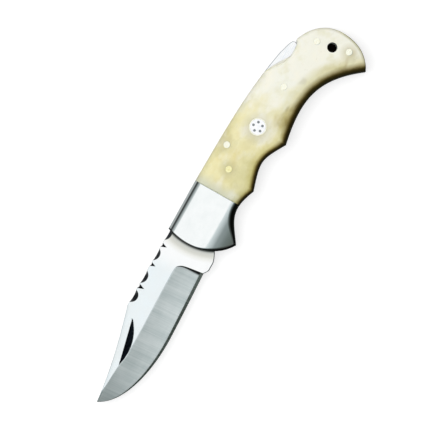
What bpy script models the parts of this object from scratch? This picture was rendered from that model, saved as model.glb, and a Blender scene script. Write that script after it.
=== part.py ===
"""A lockback folding knife with a clip point blade, shown open and locked.

The frame starts on the pivot axis, at the outer face of the pile side bolster. +X runs along the
handle to the butt, +Y to the spine and +Z from the pile side to the mark side. The blade swings
about +Z through the belly side, and the lock bar rocks about its own pin behind the pivot.
"""

import math

import bmesh
import bpy
import numpy as np
from mathutils import Matrix, Vector

MM = 0.001

# Layers across the knife, from the pile side to the mark side
BOLSTER_THICK = 4.5 * MM
SCALE_STEP = 0.2 * MM
LINER_THICK = 1.3 * MM
BLADE_THICK = 3.2 * MM
SIDE_PLAY = 0.1 * MM

# Clearances
RUNNING_FIT = 0.04 * MM
LOCK_GAP = 0.3 * MM
KICK_GAP = 0.3 * MM
SPRING_GAP = 0.1 * MM
EDGE_CLEARANCE = 1.05 * MM
TIP_CLEARANCE = 1.0 * MM
BAR_END_GAP = 0.5 * MM
PIVOT_END_GAP = 0.1 * MM
PIN_SINK = 0.05 * MM

# How far a cutter runs past the metal
OVERCUT = 1.0 * MM

# Blade, measured from the pivot
BLADE_REACH = 89.5 * MM
TIP_RISE = 4.7 * MM
SPINE_RISE = 13.95 * MM
CLIP_REACH = 45.3 * MM
BELLY_REACH = 50.0 * MM
BELLY_DROP = 9.85 * MM
HEEL_REACH = 17.0 * MM
HEEL_DROP = 8.45 * MM
KICK_DROP = 9.9 * MM
KICK_SETBACK = 3.0 * MM
KICK_LENGTH = 3.0 * MM
TANG_RADIUS = 6.7 * MM
SHOULDER_REACH = 2.5 * MM
CLOSED_ANGLE = math.radians(173)

# Grinds
GRIND_RISE = 3.7 * MM
GRIND_SAG = 0.2 * MM
PLUNGE_RUN = 1.5 * MM
PLUNGE_LEAN = 1.7 * MM
GRIND_HEEL = 20.5 * MM
GRIND_TURN = 67.0 * MM
GRIND_RUNOUT = 4.5 * MM
WHEEL_RADIUS = 100.0 * MM
EDGE_LAND = 0.06 * MM
EDGE_BEVEL = 1.55 * MM
EDGE_BEVEL_FADE = 24.0 * MM
EDGE_BEVEL_LEAST = 0.2 * MM
EDGE_ANGLE = math.radians(12)

# Nail nick, cut by a wheel that leans over
NICK_LENGTH = 22.0 * MM
NICK_DEPTH = 0.7 * MM
NICK_REACH = 59.9 * MM
NICK_BELOW_CLIP = 3.2 * MM
NICK_SLOPE = math.radians(13.4)
NICK_LEAN = math.radians(15)
NICK_WHEEL_THICK = 12.0 * MM

# File work along the spine: crescents and notches as reach, width and depth on the mark side
CRESCENTS = (
    (40.8 * MM, 6.0 * MM, 2.3 * MM),
    (31.2 * MM, 6.2 * MM, 1.8 * MM),
    (19.9 * MM, 5.9 * MM, 1.6 * MM),
    (9.4 * MM, 6.0 * MM, 1.5 * MM),
)
NOTCHES = (
    (35.8 * MM, 1.8 * MM, 2.7 * MM),
    (24.7 * MM, 1.5 * MM, 2.0 * MM),
    (15.0 * MM, 1.6 * MM, 2.2 * MM),
)
FILE_LEAN = math.radians(27)
FILE_LENGTH = 20.0 * MM

# Handle outline
BOLSTER_FRONT = 7.3 * MM
BOLSTER_SPINE = 14.75 * MM
JOINT_REACH = 16.9 * MM
JOINT_SPINE = 14.9 * MM
GUARD_REACH = 0.9 * MM
GUARD_DROP = 14.8 * MM
FRONT_CUSP = (25.2 * MM, -9.85 * MM)
REAR_CUSP = (50.1 * MM, -12.15 * MM)
BUTT_BLOCK = 14.8 * MM
BUTT_END_DROP = 8.9 * MM
BUTT_HEEL_SETBACK = 7.9 * MM
BUTT_HEEL_DROP = 25.7 * MM
BUTT_CORNER_SETBACK = 10.0 * MM
BUTT_CORNER_DROP = 26.8 * MM
BUTT_TOP_SETBACK = 11.9 * MM
BUTT_TOP_RISE = 6.5 * MM
THUMB_RUN = 19.0 * MM
THUMB_FLOOR_RUN = 3.5 * MM
THUMB_FLOOR_RISE = 5.28 * MM

# Rounded edges
SPINE_ROUND = 2.8 * MM
BELLY_ROUND = 2.4 * MM
BUTT_ROUND = 2.2 * MM
FRONT_ROUND = 0.35 * MM
THUMB_ROUND = 1.0 * MM
CROWN_RADIUS = 24.0 * MM
CROWN_START = 3.0 * MM
CROWN_STEPS = 9

# Lock bar
BAR_SETBACK = 13.4 * MM
BAR_END_RISE = 7.55 * MM
BAR_BEND_RUN = 7.0 * MM
BAR_BEND_RISE = 10.1 * MM
NOSE_LENGTH = 4.0 * MM
HUB_RADIUS = 3.6 * MM
REAR_WEB_DROP = 2.4 * MM
PADDLE_RUN = 11.0 * MM
PADDLE_RAMP = 7.0 * MM
PADDLE_COVER = 0.7 * MM
PADDLE_UNDERCUT = 0.7 * MM

# Lock spring
SPRING_THICK = 0.9 * MM
SPRING_TIP_REACH = 60.5 * MM
SPRING_ROOT_RISE = 1.0 * MM
SPRING_ROOT_DEPTH = 2.4 * MM
SPRING_PIN_SLOPE = 0.25
SPRING_TIP_SLOPE = 0.45

# Pins
PIVOT_RADIUS = 2.4 * MM
PIVOT_COVER = 0.8 * MM
PIN_RADIUS = 1.5 * MM
PIN_DOME = 0.15 * MM
PIN_FLAT = 0.45
ROCKER_PIN = (37.4 * MM, 10.6 * MM)
FRONT_PIN = (28.4 * MM, 4.5 * MM)
SPRING_PIN_REACH = 71.9 * MM
UPPER_PIN_SETBACK = 9.0 * MM
UPPER_PIN_DROP = 1.5 * MM
LOWER_PIN_SETBACK = 6.2 * MM
LOWER_PIN_DROP = 16.2 * MM
LANYARD_RADIUS = 2.25 * MM
LANYARD_SETBACK = 8.0 * MM
LANYARD_DROP = 8.7 * MM
MOSAIC_PIN = (50.9 * MM, 2.6 * MM)
MOSAIC_RADIUS = 3.9 * MM
MOSAIC_WALL = 0.42 * MM
MOSAIC_ROD_RADIUS = 0.5 * MM
MOSAIC_ROD_RING = 2.1 * MM
MOSAIC_ROD_COUNT = 5
MOSAIC_TURN = math.radians(22)

# Fineness of outlines and round pieces
SHORTEST_RUN = 1.3 * MM
HOLE_SIDES = 24
MOSAIC_SIDES = 48
ROD_SIDES = 12
WHEEL_SIDES = 240
ROUND_STEPS = 5
CORNER_SINE = 0.5
ROUND_CREASE = math.radians(25)
GROUND_CREASE = math.radians(6)

# Places that follow from the sizes
PILE_LINER = BOLSTER_THICK
CAVITY_FLOOR = PILE_LINER + LINER_THICK
BLADE_FLOOR = CAVITY_FLOOR + SIDE_PLAY
BLADE_TOP = BLADE_FLOOR + BLADE_THICK
CAVITY_TOP = BLADE_TOP + SIDE_PLAY
MARK_LINER_TOP = CAVITY_TOP + LINER_THICK
KNIFE_TOP = MARK_LINER_TOP + BOLSTER_THICK
MID_PLANE = KNIFE_TOP / 2
TIP_RADIUS = math.hypot(BLADE_REACH, TIP_RISE)
SWEEP_RADIUS = TIP_RADIUS + TIP_CLEARANCE
HANDLE_REACH = SWEEP_RADIUS + BUTT_BLOCK
BAR_END = HANDLE_REACH - BAR_SETBACK
UPPER_PIN = (HANDLE_REACH - UPPER_PIN_SETBACK, -UPPER_PIN_DROP)
LOWER_PIN = (HANDLE_REACH - LOWER_PIN_SETBACK, -LOWER_PIN_DROP)
LANYARD = (HANDLE_REACH - LANYARD_SETBACK, -LANYARD_DROP)
EPS = 1e-7


def srgb(code):
    """Linear colour of a hex code."""
    shares = [int(code[i : i + 2], 16) / 255 for i in (0, 2, 4)]
    return [s / 12.92 if s <= 0.04045 else ((s + 0.055) / 1.055) ** 2.4 for s in shares] + [1.0]


def material(name, code, roughness, metallic):
    made = bpy.data.materials.new(name)
    made.use_nodes = True
    shader = made.node_tree.nodes["Principled BSDF"]
    shader.inputs["Base Color"].default_value = srgb(code)
    shader.inputs["Roughness"].default_value = roughness
    shader.inputs["Metallic"].default_value = metallic
    return made


def bend(start, end, first, second, steps):
    """Points on a cubic curve, without its last. A handle is a share along the chord and one across it."""
    start, end = np.array(start), np.array(end)
    chord = end - start
    square = np.array((-chord[1], chord[0]))
    one = start + first[0] * chord + first[1] * square
    two = start + second[0] * chord + second[1] * square
    t = np.linspace(0, 1, steps, endpoint=False)[:, None]
    return (1 - t) ** 3 * start + 3 * t * (1 - t) ** 2 * one + 3 * t**2 * (1 - t) * two + t**3 * end


def arc(centre, radius, from_angle, to_angle, steps):
    t = np.linspace(from_angle, to_angle, steps)
    return np.column_stack((centre[0] + radius * np.cos(t), centre[1] + radius * np.sin(t)))


def joined(*stretches):
    return np.concatenate([np.atleast_2d(np.array(s, float)) for s in stretches])


def turned(points, angle):
    c, s = math.cos(angle), math.sin(angle)
    points = np.asarray(points)
    return np.column_stack((points[:, 0] * c - points[:, 1] * s, points[:, 0] * s + points[:, 1] * c))


def height_at(points, x):
    """Height of a line of points at x."""
    order = np.argsort(points[:, 0])
    return float(np.interp(x, points[order, 0], points[order, 1]))


def between(points, low, high):
    """The stretch of a line from x = low to x = high, with its cut ends, in the line's own order."""
    rising = points[-1, 0] > points[0, 0]
    ends = [(low, height_at(points, low)), (high, height_at(points, high))]
    kept = points[(points[:, 0] > low + SHORTEST_RUN) & (points[:, 0] < high - SHORTEST_RUN)]
    return joined(ends[0], kept, ends[1]) if rising else joined(ends[1], kept, ends[0])


# Outlines


def edge_line():
    """The cutting edge from the tip to the heel."""
    tip, deepest = (-BLADE_REACH, TIP_RISE), (-BELLY_REACH, -BELLY_DROP)
    heel = (-HEEL_REACH, -HEEL_DROP)
    return joined(
        bend(tip, deepest, (0.239, -0.22), (0.73, -0.105), 22),
        bend(deepest, heel, (0.33, -0.005), (0.67, -0.004), 8),
        heel,
    )


def clip_line():
    """The spine ahead of the clip's corner, without the tip itself."""
    return bend((-CLIP_REACH, SPINE_RISE), (-BLADE_REACH, TIP_RISE), (0.332, 0.026), (0.668, 0.039), 10)


def kick_line():
    """The ricasso's lower outline, which stops the closed blade under the lock bar."""
    rear = (-SHOULDER_REACH, -math.sqrt(TANG_RADIUS**2 - SHOULDER_REACH**2))
    front = (-HEEL_REACH + KICK_SETBACK, -KICK_DROP)
    back = (front[0] + KICK_LENGTH, -KICK_DROP)
    return joined(
        bend((-HEEL_REACH, -HEEL_DROP), front, (0.3, -0.05), (0.7, -0.2), 4)[1:],
        front,
        bend(back, rear, (0.3, -0.07), (0.6, 0.0), 6),
    )


def blade_outline():
    low = -math.pi / 2 - math.asin(SHOULDER_REACH / TANG_RADIUS)
    high = math.pi / 2 + math.asin(SHOULDER_REACH / TANG_RADIUS)
    return joined(
        edge_line(),
        kick_line(),
        arc((0, 0), TANG_RADIUS, low, high, 30),
        (-SHOULDER_REACH, SPINE_RISE),
        clip_line(),
    )


def closed_edge():
    return turned(edge_line(), CLOSED_ANGLE)


def closed_kick_rise():
    kick = turned(joined((-HEEL_REACH, -HEEL_DROP), kick_line()), CLOSED_ANGLE)
    return float(kick[:, 1].max())


def spine_line():
    """The handle's spine from the bolster's front to the end of the lock bar."""
    bend_at = (BAR_END - BAR_BEND_RUN, BAR_BEND_RISE)
    joint = (JOINT_REACH, JOINT_SPINE)
    end = (BAR_END, BAR_END_RISE)
    return joined(
        (-BOLSTER_FRONT, BOLSTER_SPINE),
        bend(joint, bend_at, (0.333, 0.017), (0.668, 0.045), 22),
        bend(bend_at, end, (0.333, 0.005), (0.67, 0.073), 6),
        end,
    )


def front_line():
    """The bolster's front from the spine to the guard's tip, with one run past the round at each end."""
    top, guard = np.array((-BOLSTER_FRONT, BOLSTER_SPINE)), np.array((GUARD_REACH, -GUARD_DROP))
    line = bend(top, guard, (0.282, -0.216), (0.725, -0.242), 14)
    below = np.linalg.norm(line - top, axis=1) > 1.1 * SPINE_ROUND
    above = np.linalg.norm(line - guard, axis=1) > 1.2 * BELLY_ROUND
    return joined(top, line[below & above])


def groove_line():
    """The finger groove from the guard's tip to the front cusp."""
    guard = (GUARD_REACH, -GUARD_DROP)
    return joined(bend(guard, FRONT_CUSP, (0.429, 0.184), (0.554, 0.301), 13), FRONT_CUSP)


def belly_line():
    """The belly behind the front cusp, to the butt's corner."""
    corner = (HANDLE_REACH - BUTT_CORNER_SETBACK, -BUTT_CORNER_DROP)
    return joined(
        bend(FRONT_CUSP, REAR_CUSP, (0.517, 0.216), (0.519, 0.223), 12),
        bend(REAR_CUSP, corner, (0.389, 0.221), (0.631, 0.256), 20),
        corner,
    )


def butt_line():
    """The butt from its corner up to the end of the thumb notch."""
    heel = (HANDLE_REACH - BUTT_HEEL_SETBACK, -BUTT_HEEL_DROP)
    end = (HANDLE_REACH, -BUTT_END_DROP)
    top = (HANDLE_REACH - BUTT_TOP_SETBACK, BUTT_TOP_RISE)
    return joined(
        bend(heel, end, (0.35, -0.193), (0.646, -0.159), 11),
        bend(end, top, (0.324, -0.225), (0.671, -0.197), 12),
        top,
    )


def thumb_line():
    """The edge of the thumb notch, from the butt forward to the spine."""
    top = (HANDLE_REACH - BUTT_TOP_SETBACK, BUTT_TOP_RISE)
    floor = (BAR_END - THUMB_FLOOR_RUN, THUMB_FLOOR_RISE)
    start = (BAR_END - THUMB_RUN, height_at(spine_line(), BAR_END - THUMB_RUN))
    return joined(
        bend(top, floor, (0.18, -0.164), (0.226, 0.189), 4)[1:],
        bend(floor, start, (0.511, 0.228), (0.615, -0.004), 11),
        start,
    )


def bolster_outline():
    return joined(
        front_line(),
        between(groove_line(), GUARD_REACH, JOINT_REACH),
        (JOINT_REACH, JOINT_SPINE),
    )


def rear_outline(first_x):
    """The handle behind first_x, less its front edge."""
    spine = between(spine_line()[::-1], first_x, BAR_END - THUMB_RUN)
    return joined(belly_line()[:-1], belly_line()[-1], butt_line(), thumb_line()[:-1], spine)


def scale_outline():
    return joined(between(groove_line(), JOINT_REACH, FRONT_CUSP[0])[:-1], rear_outline(JOINT_REACH))


def liner_outline():
    return joined(front_line(), groove_line()[:-1], rear_outline(-BOLSTER_FRONT)[:-1])


def edge_middles(outline):
    return (outline + np.roll(outline, -1, axis=0)) / 2


def bolster_rim(outline):
    """Width of the round along each edge of the bolster, from a square joint to a soft spine and belly."""
    widths = []
    for x, y in edge_middles(outline):
        front = FRONT_ROUND if x < GUARD_REACH - 0.5 * MM else BELLY_ROUND
        widths.append(SPINE_ROUND if y > BOLSTER_SPINE - 0.5 * MM else front)
        if x > JOINT_REACH - EPS:
            widths[-1] = 0.0
    return np.array(widths)


def scale_rim(outline):
    """The same along each edge of the scale, narrow in the thumb notch and eased from run to run."""
    widths = []
    middles = edge_middles(outline)
    for x, y in middles:
        width = BUTT_ROUND if x > HANDLE_REACH - BUTT_TOP_SETBACK else BELLY_ROUND
        if y > 0 and x < HANDLE_REACH - BUTT_TOP_SETBACK:
            width = THUMB_ROUND if x > BAR_END - THUMB_RUN else SPINE_ROUND
        widths.append(width)
    widths = np.array(widths)
    rear = middles[:, 0] > REAR_CUSP[0]
    for _ in range(2):
        eased = (np.roll(widths, 1) + widths + np.roll(widths, -1)) / 3
        widths = np.where(rear, eased, widths)
    widths[middles[:, 0] < JOINT_REACH + EPS] = 0.0
    return widths


def bar_underside():
    """Height of the lock bar's underside ahead of its hub, over the closed blade's kick."""
    return closed_kick_rise() + KICK_GAP


def bar_outline():
    nose_front = -SHOULDER_REACH + LOCK_GAP
    nose_rear = nose_front + NOSE_LENGTH
    nose_rise = TANG_RADIUS + LOCK_GAP
    front_under = min(bar_underside(), ROCKER_PIN[1] - HUB_RADIUS * 0.3)
    rear_under = ROCKER_PIN[1] - REAR_WEB_DROP
    low = math.pi + math.asin((ROCKER_PIN[1] - front_under) / HUB_RADIUS)
    high = 2 * math.pi - math.asin(REAR_WEB_DROP / HUB_RADIUS)
    paddle = THUMB_FLOOR_RISE - PADDLE_COVER
    ramp_end = BAR_END - PADDLE_RUN
    spine = spine_line()[::-1]
    return joined(
        (nose_front, nose_rise),
        (nose_rear, nose_rise),
        (nose_rear, front_under),
        arc(ROCKER_PIN, HUB_RADIUS, low, high, 10),
        bend((ramp_end - PADDLE_RAMP, rear_under), (ramp_end, paddle), (0.35, 0.22), (0.65, -0.22), 8),
        (ramp_end, paddle),
        (BAR_END - PADDLE_UNDERCUT, paddle),
        between(spine, nose_front, BAR_END),
    )


def spring_pin():
    """The spring's pin, which clears the closed blade's edge."""
    edge = closed_edge()
    x = SPRING_PIN_REACH
    slope = (height_at(edge, x + MM) - height_at(edge, x - MM)) / (2 * MM)
    return x, height_at(edge, x) + (PIN_RADIUS + EDGE_CLEARANCE) * math.hypot(1, slope)


def hermite(start, end, start_slope, end_slope, steps):
    t = np.linspace(0, 1, steps)
    run = end[0] - start[0]
    rise = (
        (2 * t**3 - 3 * t**2 + 1) * start[1]
        + (t**3 - 2 * t**2 + t) * run * start_slope
        + (3 * t**2 - 2 * t**3) * end[1]
        + (t**3 - t**2) * run * end_slope
    )
    return np.column_stack((start[0] + t * run, rise))


def spring_outline():
    """A leaf that is rooted in the back spacer, bears on its pin and lifts the lock bar."""
    half = SPRING_THICK / 2
    pin_x, pin_y = spring_pin()
    bar_under = ROCKER_PIN[1] - REAR_WEB_DROP
    lean = math.cos(math.atan(SPRING_TIP_SLOPE))
    over_pin = (pin_x, pin_y + (PIN_RADIUS + RUNNING_FIT + half) * math.hypot(1, SPRING_PIN_SLOPE))
    tip = (SPRING_TIP_REACH, bar_under - SPRING_GAP - half * lean)
    mouth = (BAR_END + BAR_END_GAP, SPRING_ROOT_RISE)
    root = (mouth[0] + SPRING_ROOT_DEPTH - RUNNING_FIT, SPRING_ROOT_RISE)
    line = joined(
        hermite(tip, over_pin, -SPRING_TIP_SLOPE, -SPRING_PIN_SLOPE, 7)[:-1],
        hermite(over_pin, mouth, -SPRING_PIN_SLOPE, 0.0, 10),
        root,
    )
    along = np.gradient(line, axis=0)
    along /= np.linalg.norm(along, axis=1)[:, None]
    side = np.column_stack((-along[:, 1], along[:, 0])) * half
    return joined(line - side, (line + side)[::-1])


def spacer_outline():
    """The butt block, hollowed for the closed blade's tip and stepped for the lock bar."""
    face = BAR_END + BAR_END_GAP
    shelf = SPRING_ROOT_RISE - SPRING_THICK / 2 - RUNNING_FIT
    belly = belly_line()
    reach = np.hypot(belly[:, 0], belly[:, 1])
    first = int(np.argmax(reach > SWEEP_RADIUS))
    share = (SWEEP_RADIUS - reach[first - 1]) / (reach[first] - reach[first - 1])
    lip = belly[first - 1] + share * (belly[first] - belly[first - 1])
    mouth = arc((0, 0), SWEEP_RADIUS, math.asin(shelf / SWEEP_RADIUS), math.atan2(lip[1], lip[0]), 14)
    return joined(belly[first:], butt_line(), (face, height_at(thumb_line(), face)), (face, shelf), mouth)


# Shapes


def into(group, obj):
    for held in list(obj.users_collection):
        held.objects.unlink(obj)
    group.objects.link(obj)
    return obj


def plate(name, outline, low, high, group):
    """A flat outline as a solid from z = low to z = high, with its flat faces whole."""
    curve = bpy.data.curves.new(name, "CURVE")
    curve.dimensions = "2D"
    curve.fill_mode = "BOTH"
    curve.extrude = (high - low) / 2
    spline = curve.splines.new("POLY")
    spline.points.add(len(outline) - 1)
    for point, (x, y) in zip(spline.points, outline):
        point.co = (x, y, 0, 1)
    spline.use_cyclic_u = True
    drawn = bpy.data.objects.new(name + "_outline", curve)
    drawn.location.z = (low + high) / 2
    group.objects.link(drawn)
    bpy.context.view_layer.update()
    graph = bpy.context.evaluated_depsgraph_get()
    mesh = bpy.data.meshes.new_from_object(drawn.evaluated_get(graph))
    mesh.name = name
    solid = bmesh.new()
    solid.from_mesh(mesh)
    bmesh.ops.remove_doubles(solid, verts=solid.verts, dist=1e-6)
    flat = [e for e in solid.edges if len(e.link_faces) == 2 and e.calc_face_angle() < 1e-4]
    bmesh.ops.dissolve_edges(solid, edges=flat, use_verts=False)
    bmesh.ops.recalc_face_normals(solid, faces=solid.faces)
    solid.to_mesh(mesh)
    solid.free()
    obj = bpy.data.objects.new(name, mesh)
    group.objects.link(obj)
    obj.matrix_world = drawn.matrix_world
    bpy.data.objects.remove(drawn, do_unlink=True)
    return obj


def rim_run(outline, widths):
    """How far each outline point moves in for the cap, and how far below the cap its round starts."""
    after = np.roll(outline, -1, axis=0) - outline
    area = np.sum(outline[:, 0] * np.roll(outline[:, 1], -1) - np.roll(outline[:, 0], -1) * outline[:, 1])
    inward = np.column_stack((-after[:, 1], after[:, 0])) * np.sign(area)
    inward /= np.linalg.norm(inward, axis=1)[:, None]
    moves, drops = [], []
    for last, this, w_last, w_this in zip(np.roll(inward, 1, axis=0), inward, np.roll(widths, 1), widths):
        mean = (w_last + w_this) / 2
        corner = abs(last[0] * this[1] - last[1] * this[0]) > CORNER_SINE
        square = np.linalg.solve(np.array((last, this)), (w_last, w_this)) if corner else None
        moves.append(square if corner else (last + this) / (1 + last @ this) * mean)
        drops.append(max(w_last, w_this) if corner else mean)
    return np.array(moves), np.array(drops)


def rounded_plate(name, outline, widths, inner, outer, group):
    """A plate from z = inner to z = outer whose outer rim is a quarter round of each edge's width."""
    moves, drops = rim_run(outline, widths)
    away = 1 if outer > inner else -1
    solid = bmesh.new()
    rings = [[solid.verts.new((x, y, inner)) for x, y in outline]]
    for angle in np.linspace(0, math.pi / 2, ROUND_STEPS + 1):
        points = outline + moves * (1 - math.cos(angle))
        heights = outer - away * drops * (1 - math.sin(angle))
        rings.append([solid.verts.new((x, y, z)) for (x, y), z in zip(points, heights)])
    for ring, above in zip(rings, rings[1:]):
        for i in range(len(ring)):
            solid.faces.new((ring[i - 1], ring[i], above[i], above[i - 1]))
    solid.faces.new(rings[0])
    solid.faces.new(rings[-1])
    bmesh.ops.remove_doubles(solid, verts=solid.verts, dist=1e-7)
    bmesh.ops.recalc_face_normals(solid, faces=solid.faces)
    mesh = bpy.data.meshes.new(name)
    solid.to_mesh(mesh)
    solid.free()
    obj = bpy.data.objects.new(name, mesh)
    group.objects.link(obj)
    return obj


def cylinder(name, at, radius, low, high, sides, group):
    tube = bmesh.new()
    bmesh.ops.create_cone(
        tube, cap_ends=True, segments=sides, radius1=radius, radius2=radius, depth=high - low
    )
    mesh = bpy.data.meshes.new(name)
    tube.to_mesh(mesh)
    tube.free()
    obj = bpy.data.objects.new(name, mesh)
    obj.location = (at[0], at[1], (low + high) / 2)
    group.objects.link(obj)
    return obj


def loft(name, rows, top, group):
    """A closed solid between a sheet of points, given row by row, and a flat lid at z = top."""
    solid = bmesh.new()
    sheet = [[solid.verts.new(p) for p in row] for row in rows]
    lid = [[solid.verts.new((p[0], p[1], top)) for p in row] for row in rows]
    last, side = len(rows) - 1, len(rows[0]) - 1
    for i in range(last):
        for j in range(side):
            solid.faces.new((sheet[i][j], sheet[i][j + 1], sheet[i + 1][j + 1], sheet[i + 1][j]))
            solid.faces.new((lid[i][j], lid[i + 1][j], lid[i + 1][j + 1], lid[i][j + 1]))
    for i in range(last):
        for j in (0, side):
            solid.faces.new((sheet[i][j], sheet[i + 1][j], lid[i + 1][j], lid[i][j]))
    for j in range(side):
        for i in (0, last):
            solid.faces.new((sheet[i][j], lid[i][j], lid[i][j + 1], sheet[i][j + 1]))
    bmesh.ops.recalc_face_normals(solid, faces=solid.faces)
    mesh = bpy.data.meshes.new(name)
    solid.to_mesh(mesh)
    solid.free()
    obj = bpy.data.objects.new(name, mesh)
    group.objects.link(obj)
    return obj


def cut(obj, tool):
    tool.hide_render = True
    tool.display_type = "WIRE"
    made = obj.modifiers.new(tool.name, "BOOLEAN")
    made.operation = "DIFFERENCE"
    made.solver = "EXACT"
    made.object = tool


def pin(name, at, radius, low, high, sides, group):
    """A turned pin with low domes on both ends."""
    inset = radius * PIN_FLAT
    profile = [
        (0, high),
        (inset, high - PIN_DOME * 0.15),
        (radius - inset * 0.3, high - PIN_DOME * 0.6),
        (radius, high - PIN_DOME * 1.3),
        (radius, low + PIN_DOME * 1.3),
        (radius - inset * 0.3, low + PIN_DOME * 0.6),
        (inset, low + PIN_DOME * 0.15),
        (0, low),
    ]
    mesh = bpy.data.meshes.new(name)
    mesh.from_pydata([(x, 0, z) for x, z in profile], [(i, i + 1) for i in range(7)], [])
    obj = bpy.data.objects.new(name, mesh)
    obj.location = (at[0], at[1], 0)
    group.objects.link(obj)
    turn = obj.modifiers.new("Turn", "SCREW")
    turn.steps = turn.render_steps = sides
    turn.use_merge_vertices = True
    turn.merge_threshold = 1e-6
    return obj


def settle(obj, crease):
    """Keeps the shape that the modifiers give, shaded smooth between creases of this angle or more."""
    graph = bpy.context.evaluated_depsgraph_get()
    mesh = bpy.data.meshes.new_from_object(obj.evaluated_get(graph))
    mesh.name = obj.name
    obj.modifiers.clear()
    obj.data = mesh
    mesh.shade_smooth()
    mesh.set_sharp_from_angle(angle=crease)
    obj.modifiers.new("Flat faces stay flat", "WEIGHTED_NORMAL").keep_sharp = True


# Assembly


def grind_top(x):
    """Height of the grind line along the blade: nearly level, then up to meet the clip."""
    start, turn = (-GRIND_HEEL, GRIND_RISE), (-GRIND_TURN, GRIND_RISE - GRIND_SAG)
    runout = (-BLADE_REACH + GRIND_RUNOUT, clip_height(-BLADE_REACH + GRIND_RUNOUT))
    beyond = (-BLADE_REACH, TIP_RISE + OVERCUT)
    line = joined(
        bend(start, turn, (0.333, -0.006), (0.667, 0.02), 8),
        bend(turn, runout, (0.332, -0.044), (0.667, 0.014), 5),
        runout,
        beyond,
    )
    return height_at(line, x)


def clip_height(x):
    return height_at(joined(clip_line(), (-BLADE_REACH, TIP_RISE)), x)


def grind_section(x, edge_y):
    """Points (y, z) across the blade's side, from beyond the edge to beyond the grind line."""
    half = BLADE_THICK / 2
    top_y = max(grind_top(x), edge_y + EDGE_BEVEL)
    bevel = EDGE_BEVEL * (1 - math.exp(-(x + BLADE_REACH) / EDGE_BEVEL_FADE))
    bevel = min(max(bevel, EDGE_BEVEL_LEAST), (top_y - edge_y) / 2)
    slope = math.tan(EDGE_ANGLE)
    land = EDGE_LAND / 2
    bevel_z = land + bevel * slope
    rise = top_y - edge_y - bevel
    sag = rise**2 / (8 * WHEEL_RADIUS)
    points = [(edge_y - OVERCUT, land - OVERCUT * slope), (edge_y, land)]
    for share in (0, 0.2, 0.45, 0.72, 1):
        z = bevel_z + (half - bevel_z) * share - 4 * sag * share * (1 - share)
        points.append((edge_y + bevel + rise * share, z))
    steep = (half - bevel_z + 4 * sag) / rise
    points.append((top_y + OVERCUT / 2 / steep, half + OVERCUT / 2))
    return points


def grind_cutter(name, side, group):
    """The hollow grind and the edge bevel of one side: 1 for the mark side and -1 for the pile side."""
    rows = []
    edge = edge_line()
    beyond = edge[0] + (edge[0] - edge[1]) * 0.5
    regular = edge[edge[:, 0] < -GRIND_HEEL - 2 * PLUNGE_RUN]
    for x, edge_y in joined(beyond, regular):
        rows.append([(x, y, z) for y, z in grind_section(x, edge_y)])
    for share in (1.0, 0.7, 0.42, 0.2, 0.0):
        row = []
        x = -HEEL_REACH - PLUNGE_LEAN - PLUNGE_RUN
        section = grind_section(x, height_at(edge, x))
        low, high = section[1][0], section[6][0]
        for y, z in section:
            level = min(max((y - low) / (high - low), 0), 1.1)
            lean = PLUNGE_LEAN * level + (GRIND_HEEL - HEEL_REACH - PLUNGE_LEAN) * level**8
            lifted = z + (BLADE_THICK / 2 + OVERCUT / 3 - z) * (1 - share) ** 2
            row.append((-HEEL_REACH - lean - PLUNGE_RUN * share, y, max(z, lifted)))
        rows.append(row)
    made = loft(name, rows, BLADE_THICK / 2 + 2 * OVERCUT, group)
    made.data.transform(Matrix.Diagonal((1, 1, side, 1)))
    if side < 0:
        made.data.flip_normals()
    made.location.z = MID_PLANE
    return made


def nick_cutter(group):
    """A wheel that leans over: its flat side leaves the nick's straight edge and its rim the curved one."""
    radius = ((NICK_LENGTH / 2) ** 2 + NICK_DEPTH**2) / (2 * NICK_DEPTH)
    along = Vector((math.cos(NICK_SLOPE), math.sin(NICK_SLOPE), 0))
    down = Vector((math.sin(NICK_SLOPE), -math.cos(NICK_SLOPE), 0))
    axis = down * math.cos(NICK_LEAN) + Vector((0, 0, math.sin(NICK_LEAN)))
    up = Vector((0, 0, math.cos(NICK_LEAN))) - down * math.sin(NICK_LEAN)
    middle = Vector((-NICK_REACH, clip_height(-NICK_REACH) - NICK_BELOW_CLIP, BLADE_TOP))
    half = NICK_WHEEL_THICK / 2
    wheel = cylinder("nick_wheel", (0, 0), radius, -half, half, WHEEL_SIDES, group)
    held = Matrix((along, axis.cross(along), axis)).transposed().to_4x4()
    wheel.matrix_world = Matrix.Translation(middle + up * (radius - NICK_DEPTH) + axis * half) @ held
    return wheel


def file_cutters(group):
    """Round and three-cornered files, held at a slant so that the cut is deeper on the mark side."""
    tools = []
    half = FILE_LENGTH / 2
    slant = Matrix.Rotation(FILE_LEAN, 4, "X")
    for number, (reach, width, depth) in enumerate(CRESCENTS, 1):
        radius = ((width / 2) ** 2 + depth**2) / (2 * depth)
        tool = cylinder(f"round_file_{number}", (0, 0), radius, -half, half, HOLE_SIDES, group)
        bottom = SPINE_RISE - depth + radius
        tool.matrix_world = Matrix.Translation((-reach, bottom, BLADE_TOP)) @ slant
        tools.append(tool)
    for number, (reach, width, depth) in enumerate(NOTCHES, 1):
        outline = [(0, 0), (width, 2 * depth), (-width, 2 * depth)]
        tool = plate(f"corner_file_{number}", outline, -half, half, group)
        tool.matrix_world = Matrix.Translation((-reach, SPINE_RISE - depth, BLADE_TOP)) @ slant
        tools.append(tool)
    return tools


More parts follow.
